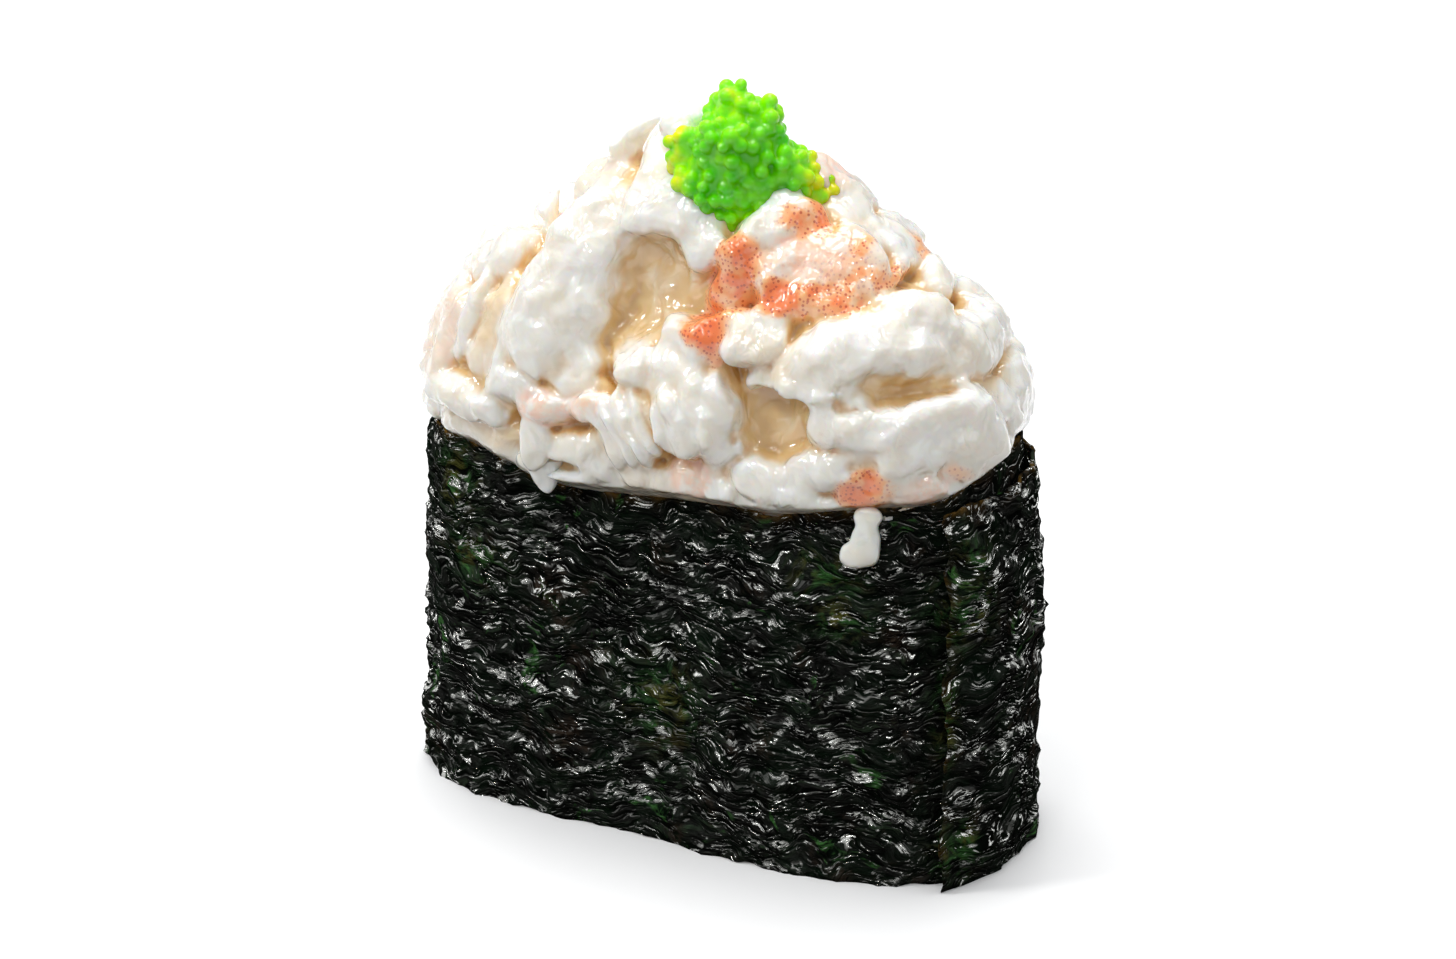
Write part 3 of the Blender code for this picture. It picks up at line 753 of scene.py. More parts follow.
def build_salad(settings):
    step = settings.grain / MM
    field = Field((-28.6, -15.2, 28.0), (28.6, 15.2, 62.6), step)
    field.distance = heap_core(field, CORE_SINK)
    field.bend_space(0.6, 5.0, settings.seed + 1)
    field.bend_space(0.4, 2.1, settings.seed + 41)
    forms = salad_forms() + scattered_forms(settings.seed)
    add_forms(field, forms, 2.2)
    index, points = field.near_surface(1.2)
    warp = np.stack([swells(points, 3.4, settings.seed + k) for k in (31, 32, 33)], axis=1)
    folded = points + 1.6 * warp
    relief = 0.20 * swells(folded, (3.4, 3.4, 4.6), settings.seed + 5)
    relief += 0.12 * flakes(folded, (4.2, 4.2, 5.6), settings.seed + 6, 0.3)
    relief -= 0.08 * ridges(folded, (3.0, 3.0, 5.2), settings.seed + 8, 4.0)
    relief += 0.09 * swells(folded, (1.15, 1.15, 4.4), settings.seed + 10)
    relief += 0.04 * swells(points + 0.5 * warp, (0.9, 0.9, 1.3), settings.seed + 9)
    field.distance[index] += relief.astype(np.float32)
    keep_inside_wall(field, 0.25)
    floor = float(field.axes[2][3])
    heights = field.axes[2].astype(np.float32)[None, None, :]
    field.distance = np.maximum(field.distance, floor + step * 0.5 - heights)
    vertices, faces = field.skin()
    keep = (vertices[faces][:, :, 2] > floor + step).any(axis=1)
    used, faces = np.unique(faces[keep], return_inverse=True)
    vertices, faces = vertices[used], faces.reshape(-1, 4)
    mesh = make_mesh("crab_salad_heap", vertices, faces)
    # pink and orange skin and painted ochre shade, each blended in from the lumps nearby
    tints = {name: np.zeros(len(vertices)) for name in ("pink", "orange", "ochre")}
    weight = np.exp(-np.maximum(field.at(heap_core(field, CORE_SINK), vertices), -0.5) / 0.35) * 0.6 + 1e-6
    bend = np.stack([field.at(field.bend[..., k], vertices) for k in range(3)], axis=1)
    bent = vertices + bend
    for form in forms:
        if form["hollow"]:
            continue
        reach = float(np.linalg.norm(form["halves"])) * 1.25 + 1.5
        near = np.nonzero(((bent - form["centre"]) ** 2).sum(axis=1) < reach**2)[0]
        share = np.exp(-np.maximum(form_distance(bent[near], form), -0.6) / 0.28) * (1 + form["paint"])
        weight[near] += share
        for name in tints:
            tints[name][near] += share * form[name]
    for name in tints:
        set_attribute(mesh, name, tints[name] / weight)
    # painted shade: how much food lies round each point, more in hollows and creases, which the material turns ochre
    hollow = field.at(field.fullness(3.4), vertices) * 0.6 + field.at(field.fullness(1.6), vertices) * 0.4
    set_attribute(mesh, "hollow", hollow)
    close_holes(mesh)
    return mesh


def salad_material(settings):
    material, wiring, shader = new_material("creamy_crab_salad")
    place = wiring.add("ShaderNodeTexCoord", output=3)
    pink, orange, ochre, hollow = [wiring.attribute(n) for n in ("pink", "orange", "ochre", "hollow")]
    cloud = wiring.noise(place, 260.0, 3.0)
    patch = wiring.noise(place, 620.0, 4.0, 0.6)
    colour = wiring.mix(wiring.band(cloud, 0.35, 0.65), rgba(settings.cream), rgba(settings.white))
    # painted shade: hollows, creases and lumps with an ochre share turn warm ochre, the deepest hollows brown
    hollow_shade_share = wiring.band(hollow, 0.47, 0.63)
    painted_shade_share = wiring.math("MAXIMUM", hollow_shade_share, wiring.math("MULTIPLY", ochre, 0.8))
    colour = wiring.mix(painted_shade_share, colour, rgba(settings.painted_hollow_shade))
    colour = wiring.mix(wiring.band(hollow, 0.62, 0.78), colour, rgba(settings.painted_deep_shade))
    coat = wiring.band(patch, 0.38, 0.62)
    pinkness = wiring.math("MULTIPLY", wiring.band(pink, 0.12, 0.5), wiring.math("ADD", coat, 0.25), clamp=True)
    colour = wiring.mix(pinkness, colour, rgba(settings.pink))
    cover = wiring.band(wiring.noise(place, 420.0, 3.0), 0.36, 0.6)
    share = wiring.math("MULTIPLY", orange, wiring.math("ADD", wiring.math("MULTIPLY", cover, 0.6), 0.7))
    orangeness = wiring.band(share, 0.22, 0.62)
    skin = wiring.mix(wiring.band(share, 0.45, 0.95), rgba(settings.peach), rgba(settings.orange))
    speck = wiring.add(
        "ShaderNodeTexVoronoi", {"Vector": place, "Scale": 2800.0, "Randomness": 0.85}, feature="F1"
    )
    dots = wiring.math("SUBTRACT", 1.0, wiring.band(speck, 0.27, 0.38))
    skin = wiring.mix(wiring.math("MULTIPLY", dots, 0.85), skin, rgba(settings.speck))
    colour = wiring.mix(orangeness, colour, skin)
    wiring.put(shader.inputs["Base Color"], colour)
    shader.inputs["Subsurface Weight"].default_value = 0.85
    shader.inputs["Subsurface Radius"].default_value = (1.0, 0.72, 0.48)
    shader.inputs["Subsurface Scale"].default_value = settings.scatter
    shader.inputs["IOR"].default_value = 1.45
    rough = wiring.add(
        "ShaderNodeMapRange", {"Value": wiring.noise(place, 500.0), "To Min": 0.22, "To Max": 0.36}
    )
    wiring.put(shader.inputs["Roughness"], rough)
    shader.inputs["Coat Weight"].default_value = 1.0
    shader.inputs["Coat IOR"].default_value = 1.65
    shader.inputs["Coat Roughness"].default_value = 0.04
    drift = wiring.add("ShaderNodeTexNoise", {"Vector": place, "Scale": 330.0, "Detail": 1.0}, output=1)
    offset = wiring.add("ShaderNodeVectorMath", {0: drift, 1: (-0.5, -0.5, -0.5)}, operation="ADD")
    offset = wiring.add("ShaderNodeVectorMath", {0: offset, "Scale": 0.0035}, operation="SCALE")
    pulled = wiring.add("ShaderNodeVectorMath", {0: place, 1: offset}, operation="ADD")
    pulled = wiring.add("ShaderNodeMapping", {"Vector": pulled, "Scale": (1.0, 1.0, 0.5)})
    wrinkles = wiring.noise(pulled, 520.0, 2.0, 0.45, 0.3)
    films = wiring.noise(pulled, 300.0, 1.0, 0.5, 0.5, "RIDGED_MULTIFRACTAL")
    grain = wiring.noise(place, 2400.0, 1.0)
    height = wiring.math("ADD", wrinkles, wiring.math("MULTIPLY", films, 0.25))
    height = wiring.math("ADD", height, wiring.math("MULTIPLY", grain, 0.03))
    bump = wiring.add("ShaderNodeBump", {"Height": height, "Strength": 1.0, "Distance": 0.0005})
    wiring.put(shader.inputs["Normal"], bump)
    wiring.put(shader.inputs["Coat Normal"], bump)
    return material


# ---------------------------------------------------------------- seaweed


def strip_sheet(settings, columns, rows):
    """Points (columns, rows, 3) of the strip's middle surface in mm, its normals, and its flat coordinates."""
    along_turns = np.linspace(0, 1 + LAP_TURNS, columns)[:, None] * np.ones((1, rows))
    share = np.ones((columns, 1)) * np.linspace(0, 1, rows)[None, :]
    along = along_turns * PERIMETER
    zeros = np.zeros(columns * rows)

    def spot(x, y):
        return np.stack([x.ravel(), y.ravel(), zeros], axis=1)

    ragged = 0.16 * swells(spot(along, share * 0), 1.6, settings.seed + 11).reshape(along.shape)
    ragged += 0.10 * swells(spot(along, share * 0), 0.5, settings.seed + 12).reshape(along.shape)
    top = upper_edge(along_turns) + ragged * 1.5
    lifted = ease((along_turns - 1.0) / 0.01) * 1.0
    foot = np.abs(0.18 * swells(spot(along, share * 0), 4.0, settings.seed + 13).reshape(along.shape))
    bottom = foot + lifted * np.clip(top - STRIP_HEIGHT - 1.6, 0, None)
    height = bottom + share * (top - bottom)
    end = np.exp(-along / 2.5)
    torn = 0.55 * swells(spot(height, share * 0), 2.8, settings.seed + 14)
    torn += 0.25 * swells(spot(height, share * 0), 0.9, settings.seed + 15)
    shifted = along + end * torn.reshape(along.shape)
    lap = LAP_OFFSET * (1 - ease((along_turns - LAP_TURNS - 0.01) / LAP_BLEND_TURNS))
    slant = 1.6 * swells(spot(along, height), 7.0, settings.seed + 16).reshape(along.shape)
    flat = spot(shifted, height + slant)
    calm = 1 - 0.75 * ease((along_turns - 0.985) / 0.01)
    broad = 0.40 * swells(flat, (9.0, 7.0, 1.0), settings.seed + 17)
    folds = 0.42 * ridges(flat, (6.0, 2.6, 1.0), settings.seed + 18, 2.2)
    creases = 0.34 * ridges(flat, (3.0, 1.5, 1.0), settings.seed + 19, 2.0)
    crumple = 0.20 * flakes(flat, (2.2, 1.3, 1.0), settings.seed + 20, 0.4)
    relief = ((broad + folds + creases + crumple).reshape(along.shape) - 0.25) * calm
    recess = -np.gradient(relief, axis=1) / np.maximum(np.gradient(height, axis=1), 0.05)
    lifted_end = 0.75 * np.exp(-along / 1.0)
    flap = 1.5 * np.exp(-(((along - 1.2) / 2.0) ** 2) - ((height - 24.5) / 2.4) ** 2)
    relief = relief + (lifted_end + flap) * (along < 20)
    plan, normal = wall_points(STRIP_START + shifted / PERIMETER, lap + wall_swell(height) + relief)
    points = np.concatenate([plan, height[..., None]], axis=2)
    return points, normal, shifted, height, top, recess


def build_seaweed(settings):
    pitch = settings.pitch / MM
    columns = int(PERIMETER * (1 + LAP_TURNS) / pitch)
    rows = int(34.0 / pitch)
    points, normal, along, height, top, recess = strip_sheet(settings, columns, rows)
    half = settings.thickness / MM / 2
    shift = np.concatenate([normal, np.zeros(normal.shape[:2] + (1,))], axis=2) * half
    outer, inner = (points + shift).reshape(-1, 3), (points - shift).reshape(-1, 3)
    count = columns * rows
    grid = np.arange(count).reshape(columns, rows)
    a, b, c, d = grid[:-1, :-1], grid[1:, :-1], grid[1:, 1:], grid[:-1, 1:]
    front = np.stack([a, b, c, d], axis=-1).reshape(-1, 4)
    back = front[:, ::-1] + count
    border = np.concatenate([grid[:, 0], grid[-1, 1:], grid[-2::-1, -1], grid[0, -2:0:-1]])
    after = np.roll(border, -1)
    side = np.stack([border + count, after + count, after, border], axis=1)
    mesh = make_mesh("seaweed_strip", np.concatenate([outer, inner]), np.concatenate([front, back, side]))
    edge = np.minimum(np.clip(top - height, 0, 9), np.clip(along, 0, 9) + 0.3)
    set_attribute(mesh, "thin", np.tile(np.exp(-edge.ravel() / 0.25), 2))
    # facing_up marks upward-facing parts of the sheet and the flap, where the material paints glints
    flap = 0.8 * np.exp(-(((along - 2.4) / 1.8) ** 2) - ((height - 24.0) / 2.6) ** 2)
    set_attribute(mesh, "facing_up", np.tile(np.maximum(ease(recess / 0.5), flap).ravel(), 2))
    leafy = np.zeros(along.shape)
    for place, level, wide, tall in LEAFY_SPOTS:
        round_trip = (along - place + PERIMETER / 2) % PERIMETER - PERIMETER / 2
        leafy = np.maximum(leafy, np.exp(-((round_trip / wide) ** 2) - ((height - level) / tall) ** 2))
    set_attribute(mesh, "leafy", np.tile(leafy.ravel(), 2))
    flat = np.tile(np.stack([along.ravel(), height.ravel()], axis=1) * MM, (2, 1))
    layer = mesh.uv_layers.new(name="strip")
    corners = np.empty(len(mesh.loops), np.int32)
    mesh.loops.foreach_get("vertex_index", corners)
    layer.data.foreach_set("uv", flat[corners].astype(np.float32).ravel())
    return mesh


def seaweed_material(settings):
    material, wiring, shader = new_material("moist_seaweed")
    strip = wiring.add("ShaderNodeUVMap", uv_map="strip")
    place = wiring.add("ShaderNodeTexCoord", output=3)
    drift = wiring.add("ShaderNodeTexNoise", {"Vector": strip, "Scale": 170.0, "Detail": 2.0}, output=1)
    offset = wiring.add("ShaderNodeVectorMath", {0: drift, 1: (-0.5, -0.5, -0.5)}, operation="ADD")
    offset = wiring.add("ShaderNodeVectorMath", {0: offset, "Scale": 0.006}, operation="SCALE")
    strip = wiring.add("ShaderNodeVectorMath", {0: strip, 1: offset}, operation="ADD")
    long_grain = wiring.add("ShaderNodeMapping", {"Vector": strip, "Scale": (0.85, 3.0, 1.0)})
    folds = wiring.noise(long_grain, 330.0, 3.0, 0.55, 0.5, "RIDGED_MULTIFRACTAL")
    crests = wiring.noise(long_grain, 620.0, 4.0, 0.6, 1.1)
    # upward picks the upper slopes of the creases, which face the lights above, for the painted glints
    higher = wiring.add("ShaderNodeVectorMath", {0: long_grain, 1: (0.0, 0.0004, 0.0)}, operation="ADD")
    above = wiring.noise(higher, 620.0, 4.0, 0.6, 1.1)
    upward = wiring.band(wiring.math("SUBTRACT", crests, above), 0.120, 0.140)
    pits = wiring.noise(strip, 2200.0, 2.0)
    crest = wiring.band(crests, 0.50, 0.66)
    cloud = wiring.noise(strip, 300.0, 4.0, 0.62)
    colour = wiring.mix(wiring.band(cloud, 0.42, 0.62), rgba(settings.black), rgba(settings.dark_green))
    frond = wiring.math("MULTIPLY", wiring.band(wiring.noise(strip, 230.0, 3.0, 0.6, 0.8), 0.50, 0.64), crest)
    colour = wiring.mix(frond, colour, rgba(settings.green))
    leaf = wiring.noise(strip, 150.0, 4.0, 0.65, 1.4)
    leaf_spot = wiring.math("MULTIPLY", wiring.band(leaf, 0.62, 0.70), wiring.band(crests, 0.40, 0.60))
    colour = wiring.mix(leaf_spot, colour, rgba(settings.leaf_green))
    rust = wiring.noise(place, 170.0, 4.0, 0.65)
    rust_spot = wiring.math("MULTIPLY", wiring.band(rust, 0.56, 0.70), wiring.band(crests, 0.35, 0.6))
    colour = wiring.mix(rust_spot, colour, rgba(settings.brown))
    thin = wiring.math("MULTIPLY", wiring.attribute("thin"), wiring.band(wiring.noise(strip, 420.0), 0.40, 0.62))
    colour = wiring.mix(wiring.math("MULTIPLY", thin, 0.8), colour, rgba(settings.amber))
    leafy = wiring.math("MULTIPLY", wiring.attribute("leafy"), wiring.band(crests, 0.36, 0.58))
    leafy = wiring.math("MULTIPLY", leafy, wiring.band(wiring.noise(strip, 700.0, 3.0, 0.6), 0.36, 0.62))
    frond_tint = wiring.band(wiring.noise(strip, 480.0, 3.0, 0.6), 0.46, 0.58)
    frond_tint = wiring.mix(frond_tint, rgba(settings.leaf_green), rgba(settings.olive))
    colour = wiring.mix(wiring.math("MULTIPLY", leafy, 0.9), colour, frond_tint)
    # painted glints and sheen: near-white metallic film on upper slopes, upward faces and thin lines, brightest in
    # clusters, plus a faint sheen on the crests
    cluster = wiring.band(wiring.noise(strip, 200.0, 3.0, 0.6), 0.45, 0.54)
    chosen = wiring.band(wiring.noise(strip, 820.0, 2.0, 0.5), 0.43, 0.50)
    bright = wiring.math("MULTIPLY", wiring.math("ADD", cluster, 0.15), chosen, clamp=True)
    level = wiring.math("ABSOLUTE", wiring.math("SUBTRACT", wiring.noise(long_grain, 420.0, 3.0, 0.5, 0.8), 0.5))
    painted_glint_strands = wiring.math("SUBTRACT", 1.0, wiring.band(level, 0.010, 0.020))
    slope = wiring.band(wiring.math("SUBTRACT", crests, above), 0.04, 0.08)
    painted_glint_hairs = wiring.math("MULTIPLY", painted_glint_strands, slope)
    fine = wiring.math("MAXIMUM", upward, painted_glint_hairs)
    fine = wiring.math("MULTIPLY", fine, wiring.math("ADD", bright, 0.06))
    faint = wiring.math("MULTIPLY", wiring.band(crests, 0.38, 0.66), 0.022)
    streaks = wiring.band(wiring.noise(long_grain, 1150.0, 3.0, 0.55, 0.6), 0.54, 0.58)
    streaks = wiring.math("MULTIPLY", wiring.math("MAXIMUM", streaks, painted_glint_strands), wiring.math("ADD", chosen, 0.12))
    broad = wiring.math("MULTIPLY", wiring.band(wiring.attribute("facing_up"), 0.35, 0.75), streaks, clamp=True)
    painted_glint = wiring.math("MAXIMUM", wiring.math("MAXIMUM", fine, faint), wiring.math("MULTIPLY", broad, 0.9))
    colour = wiring.mix(painted_glint, colour, rgba(settings.painted_glint))
    wiring.put(shader.inputs["Base Color"], colour)
    wiring.put(shader.inputs["Metallic"], painted_glint)
    rough = wiring.add("ShaderNodeMapRange", {"Value": painted_glint, "To Min": 0.30, "To Max": 0.11})
    wiring.put(shader.inputs["Roughness"], rough)
    shader.inputs["Specular IOR Level"].default_value = 0.0
    height = wiring.math("ADD", wiring.math("MULTIPLY", folds, 0.30), wiring.math("MULTIPLY", crests, 1.5))
    height = wiring.math("ADD", height, wiring.math("MULTIPLY", pits, 0.12))
    bump = wiring.add("ShaderNodeBump", {"Height": height, "Strength": 1.0, "Distance": 0.0012})
    wiring.put(shader.inputs["Normal"], bump)
    return material


# ---------------------------------------------------------------- geometry nodes: roe and rice


def grow_tree(name, inputs):
    """An empty geometry tree with a geometry input and output and the named number inputs."""
    tree = bpy.data.node_groups.new(name, "GeometryNodeTree")
    tree.interface.new_socket("Geometry", in_out="INPUT", socket_type="NodeSocketGeometry")
    tree.interface.new_socket("Geometry", in_out="OUTPUT", socket_type="NodeSocketGeometry")
    for label, kind, value in inputs:
        tree.interface.new_socket(label, in_out="INPUT", socket_type=kind).default_value = value
    wiring = Wiring(tree)
    source = wiring.add("NodeGroupInput", output=None)
    drain = wiring.add("NodeGroupOutput", output=None)
    return tree, wiring, source, drain


def grown_mesh(name, base, tree, values):
    """The plain mesh that a geometry tree makes from a base mesh, with its inputs set by identifier."""
    thing = bpy.data.objects.new(name + "_base", base)
    looks_collection().objects.link(thing)
    modifier = thing.modifiers.new(name, "NODES")
    modifier.node_group = tree
    identifiers = {item.name: item.identifier for item in tree.interface.items_tree if item.in_out == "INPUT"}
    for label, value in values.items():
        modifier[identifiers[label]] = value
    graph = bpy.context.evaluated_depsgraph_get()
    mesh = bpy.data.meshes.new_from_object(thing.evaluated_get(graph))
    mesh.name = name
    thing.modifiers.clear()
    bpy.data.objects.remove(thing)
    return mesh


def egg_tree(material):
    """Scatters eggs over a surface, each with its own size and shade."""
    inputs = [
        ("Egg Diameter", "NodeSocketFloat", 1.3 * MM),
        ("Spacing", "NodeSocketFloat", 1.0 * MM),
        ("Unevenness", "NodeSocketFloat", 0.5 * MM),
        ("Seed", "NodeSocketInt", 1),
    ]
    tree, wiring, source, drain = grow_tree("scattered_eggs", inputs)
    size, spacing, uneven, seed = [source.outputs[label] for label, _, _ in inputs]
    scatter = wiring.add(
        "GeometryNodeDistributePointsOnFaces",
        {
            "Mesh": source.outputs["Geometry"],
            "Distance Min": spacing,
            "Density Max": 4.0e6,
            "Seed": seed,
        },
        output=None,
        distribute_method="POISSON",
    )
    proud = wiring.add(
        "FunctionNodeRandomValue", {"Min": -1.0, "Max": 1.0, "Seed": seed}, output=1, data_type="FLOAT"
    )
    push = wiring.math("MULTIPLY", proud, uneven)
    away = wiring.add("ShaderNodeVectorMath", {0: scatter.outputs["Normal"], "Scale": push}, operation="SCALE")
    moved = wiring.add("GeometryNodeSetPosition", {"Geometry": scatter.outputs["Points"], "Offset": away})
    shade = wiring.add(
        "FunctionNodeRandomValue",
        {"Min": 0.0, "Max": 1.0, "Seed": wiring.math("ADD", seed, 3.0)},
        output=1,
        data_type="FLOAT",
    )
    stored = wiring.add(
        "GeometryNodeStoreNamedAttribute",
        {"Geometry": moved, "Name": "shade", "Value": shade},
        data_type="FLOAT",
        domain="POINT",
    )
    egg = wiring.add("GeometryNodeMeshIcoSphere", {"Radius": wiring.math("MULTIPLY", size, 0.5), "Subdivisions": 2})
    growth = wiring.add(
        "FunctionNodeRandomValue",
        {"Min": 0.78, "Max": 1.20, "Seed": wiring.math("ADD", seed, 7.0)},
        output=1,
        data_type="FLOAT",
    )
    placed = wiring.add("GeometryNodeInstanceOnPoints", {"Points": stored, "Instance": egg, "Scale": growth})
    real = wiring.add("GeometryNodeRealizeInstances", {"Geometry": placed})
    smooth = wiring.add("GeometryNodeSetShadeSmooth", {"Geometry": real})
    finished = wiring.add("GeometryNodeSetMaterial", {"Geometry": smooth, "Material": material})
    wiring.put(drain.inputs["Geometry"], finished)
    return tree


def roe_core(shrink, seed):
    """The body of the roe heap under its eggs, shrunk by so many mm: a leaning pile with two shoulders."""
    low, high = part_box("flying_fish_roe")
    centre = (np.array(low) + np.array(high)) / 2 / MM
    aside, ahead, up = ROE_AXES
    lumps = (
        (-0.8, 0.6, 1.0, (3.9, 3.0, 3.9)),
        (-0.9, 0.2, 4.4, (1.7, 1.5, 2.3)),
        (1.2, 0.2, 3.6, (2.0, 1.6, 2.0)),
        (-4.7, 0.0, 0.9, (1.7, 1.5, 2.1)),
        (-3.6, 1.0, -1.5, (2.3, 2.0, 1.6)),
        (-0.5, 1.7, -3.2, (2.4, 1.8, 1.7)),
        (2.8, 0.8, -0.6, (2.6, 2.4, 2.3)),
        (5.3, 0.6, -1.9, (1.9, 1.3, 1.1)),
        (4.6, 1.2, -3.2, (2.0, 1.4, 1.3)),
    )
    field = Field(centre - (9, 9, 8), centre + (9, 9, 9), 0.35)
    for sideways, forward, rise, halves in lumps:
        form = {"taper": 0.0, "curl": 0.0, "fibres": 0.0, "blend": 1.2, "hollow": False, "square": 2.0}
        form["centre"] = centre + aside * sideways + ahead * forward + up * rise
        form["axes"], form["halves"] = np.stack([aside, ahead, up]), np.array(halves)
        add_form(field, form)
    index, points = field.near_surface(1.5)
    field.distance[index] += (0.35 * swells(points, 2.4, seed)).astype(np.float32)
    field.distance += shrink
    mesh = make_mesh("roe_core", *field.skin())
    close_holes(mesh)
    return mesh


def build_roe(settings, material):
    eggs = grown_mesh(
        "roe_eggs",
        roe_core(0.35, settings.seed),
        egg_tree(material),
        {
            "Egg Diameter": settings.egg,
            "Spacing": settings.egg * 0.66,
            "Unevenness": settings.egg * 0.26,
            "Seed": settings.seed,
        },
    )
    bm = bmesh.new()
    bm.from_mesh(eggs)
    bm.from_mesh(roe_core(0.35, settings.seed))
    bm.to_mesh(eggs)
    bm.free()
    thing = make_object("roe_fusing", eggs)
    fused = thing.modifiers.new("fused", "REMESH")
    fused.mode, fused.voxel_size = "VOXEL", settings.egg * 0.105
    soft = thing.modifiers.new("soft", "SMOOTH")
    soft.factor, soft.iterations = 0.5, 2
    graph = bpy.context.evaluated_depsgraph_get()
    jelly = bpy.data.meshes.new_from_object(thing.evaluated_get(graph))
    bpy.data.objects.remove(thing)
    jelly.name = "fish_roe"
    jelly.materials.clear()
    jelly.materials.append(material)
    jelly.shade_smooth()
    points = np.empty(len(jelly.vertices) * 3, np.float32)
    jelly.vertices.foreach_get("co", points)
    points = points.reshape(-1, 3) / MM
    low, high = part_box("flying_fish_roe")
    away = (points - (np.array(low) + np.array(high)) / 2 / MM) @ ROE_AXES.T
    # painted light: paler, yellower eggs at the sides, the top and low down, where light shines through; deeper green
    # inside; a random swell adds real variation
    edge = ease((np.abs(away[:, 0] + 0.2) - 3.2) / 2.6) * 0.55 + ease((away[:, 2] - 2.4) / 3.0) * 0.32
    edge += ease((-1.6 - away[:, 2]) / 2.4) * 0.20
    set_attribute(jelly, "shade", 0.35 + edge + 0.30 * swells(points, 1.4, settings.seed + 2))
    return jelly


def roe_material(settings):
    material, wiring, shader = new_material("translucent_green_roe")
    shade = wiring.attribute("shade")
    # painted light and shade: deep green inside the heap, bright and yellow green at its lit sides and top
    colour = wiring.mix(wiring.band(shade, 0.1, 0.9, False), rgba(settings.painted_shade_green), rgba(settings.bright_green))
    colour = wiring.mix(wiring.band(shade, 0.75, 1.05), colour, rgba(settings.painted_glow_green))
    wiring.put(shader.inputs["Base Color"], colour)
    shader.inputs["Roughness"].default_value = 0.06
    shader.inputs["IOR"].default_value = 1.38
    shader.inputs["Specular IOR Level"].default_value = 0.0
    shader.inputs["Transmission Weight"].default_value = 0.12
    shader.inputs["Coat Weight"].default_value = 0.75
    shader.inputs["Coat IOR"].default_value = 1.48
    shader.inputs["Coat Roughness"].default_value = 0.03
    shader.inputs["Subsurface Weight"].default_value = 1.0
    shader.inputs["Subsurface Radius"].default_value = (0.5, 1.0, 0.1)
    shader.inputs["Subsurface Scale"].default_value = 0.0012
    return material


def grain_tree(material):
    """Lays rice grains on the upward faces of a flat base, each turned its own way."""
    inputs = [
        ("Grain Length", "NodeSocketFloat", 6.0 * MM),
        ("Grain Thickness", "NodeSocketFloat", 2.4 * MM),
        ("Spacing", "NodeSocketFloat", 2.5 * MM),
        ("Seed", "NodeSocketInt", 1),
    ]
    tree, wiring, source, drain = grow_tree("pressed_grains", inputs)
    length, thick, spacing, seed = [source.outputs[label] for label, _, _ in inputs]
    scatter = wiring.add(
        "GeometryNodeDistributePointsOnFaces",
        {"Mesh": source.outputs["Geometry"], "Distance Min": spacing, "Density Max": 1.0e6, "Seed": seed},
        output=None,
        distribute_method="POISSON",
    )
    grain = wiring.add("GeometryNodeMeshIcoSphere", {"Radius": 0.5, "Subdivisions": 3})
    thin = wiring.math("MULTIPLY", thick, 0.92)
    shape = wiring.add("ShaderNodeCombineXYZ", {0: length, 1: thick, 2: thin})
    grain = wiring.add("GeometryNodeTransform", {"Geometry": grain, "Scale": shape})
    turn = wiring.add(
        "FunctionNodeRandomValue",
        {0: (-0.25, -0.12, 0.0), 1: (0.25, 0.12, 6.28), "Seed": seed},
        output=0,
        data_type="FLOAT_VECTOR",
    )
    growth = wiring.add(
        "FunctionNodeRandomValue",
        {"Min": 0.85, "Max": 1.1, "Seed": wiring.math("ADD", seed, 5.0)},
        output=1,
        data_type="FLOAT",
    )
    spin = wiring.add("FunctionNodeEulerToRotation", {"Euler": turn})
    placed = wiring.add(
        "GeometryNodeInstanceOnPoints",
        {"Points": scatter.outputs["Points"], "Instance": grain, "Scale": growth, "Rotation": spin},
    )
    real = wiring.add("GeometryNodeRealizeInstances", {"Geometry": placed})
    smooth = wiring.add("GeometryNodeSetShadeSmooth", {"Geometry": real})
    finished = wiring.add("GeometryNodeSetMaterial", {"Geometry": smooth, "Material": material})
    wiring.put(drain.inputs["Geometry"], finished)
    return tree


def rice_base(height, inset, rings=10):
    """A flat oval at a height, inside the wall."""
    samples = 96
    plan, _ = wall_points(np.arange(samples) / samples, np.full(samples, -inset))
    bm = bmesh.new()
    centre = bm.verts.new((0, 0, height * MM))
    last = None
    for ring in range(1, rings + 1):
        here = [bm.verts.new((x * ring / rings * MM, y * ring / rings * MM, height * MM)) for x, y in plan]
        for k in range(samples):
            following = (k + 1) % samples
            if last is None:
                bm.faces.new((centre, here[k], here[following]))
            else:
                bm.faces.new((last[k], here[k], here[following], last[following]))
        last = here
    mesh = bpy.data.meshes.new("rice_base")
    bm.to_mesh(mesh)
    bm.free()
    return mesh


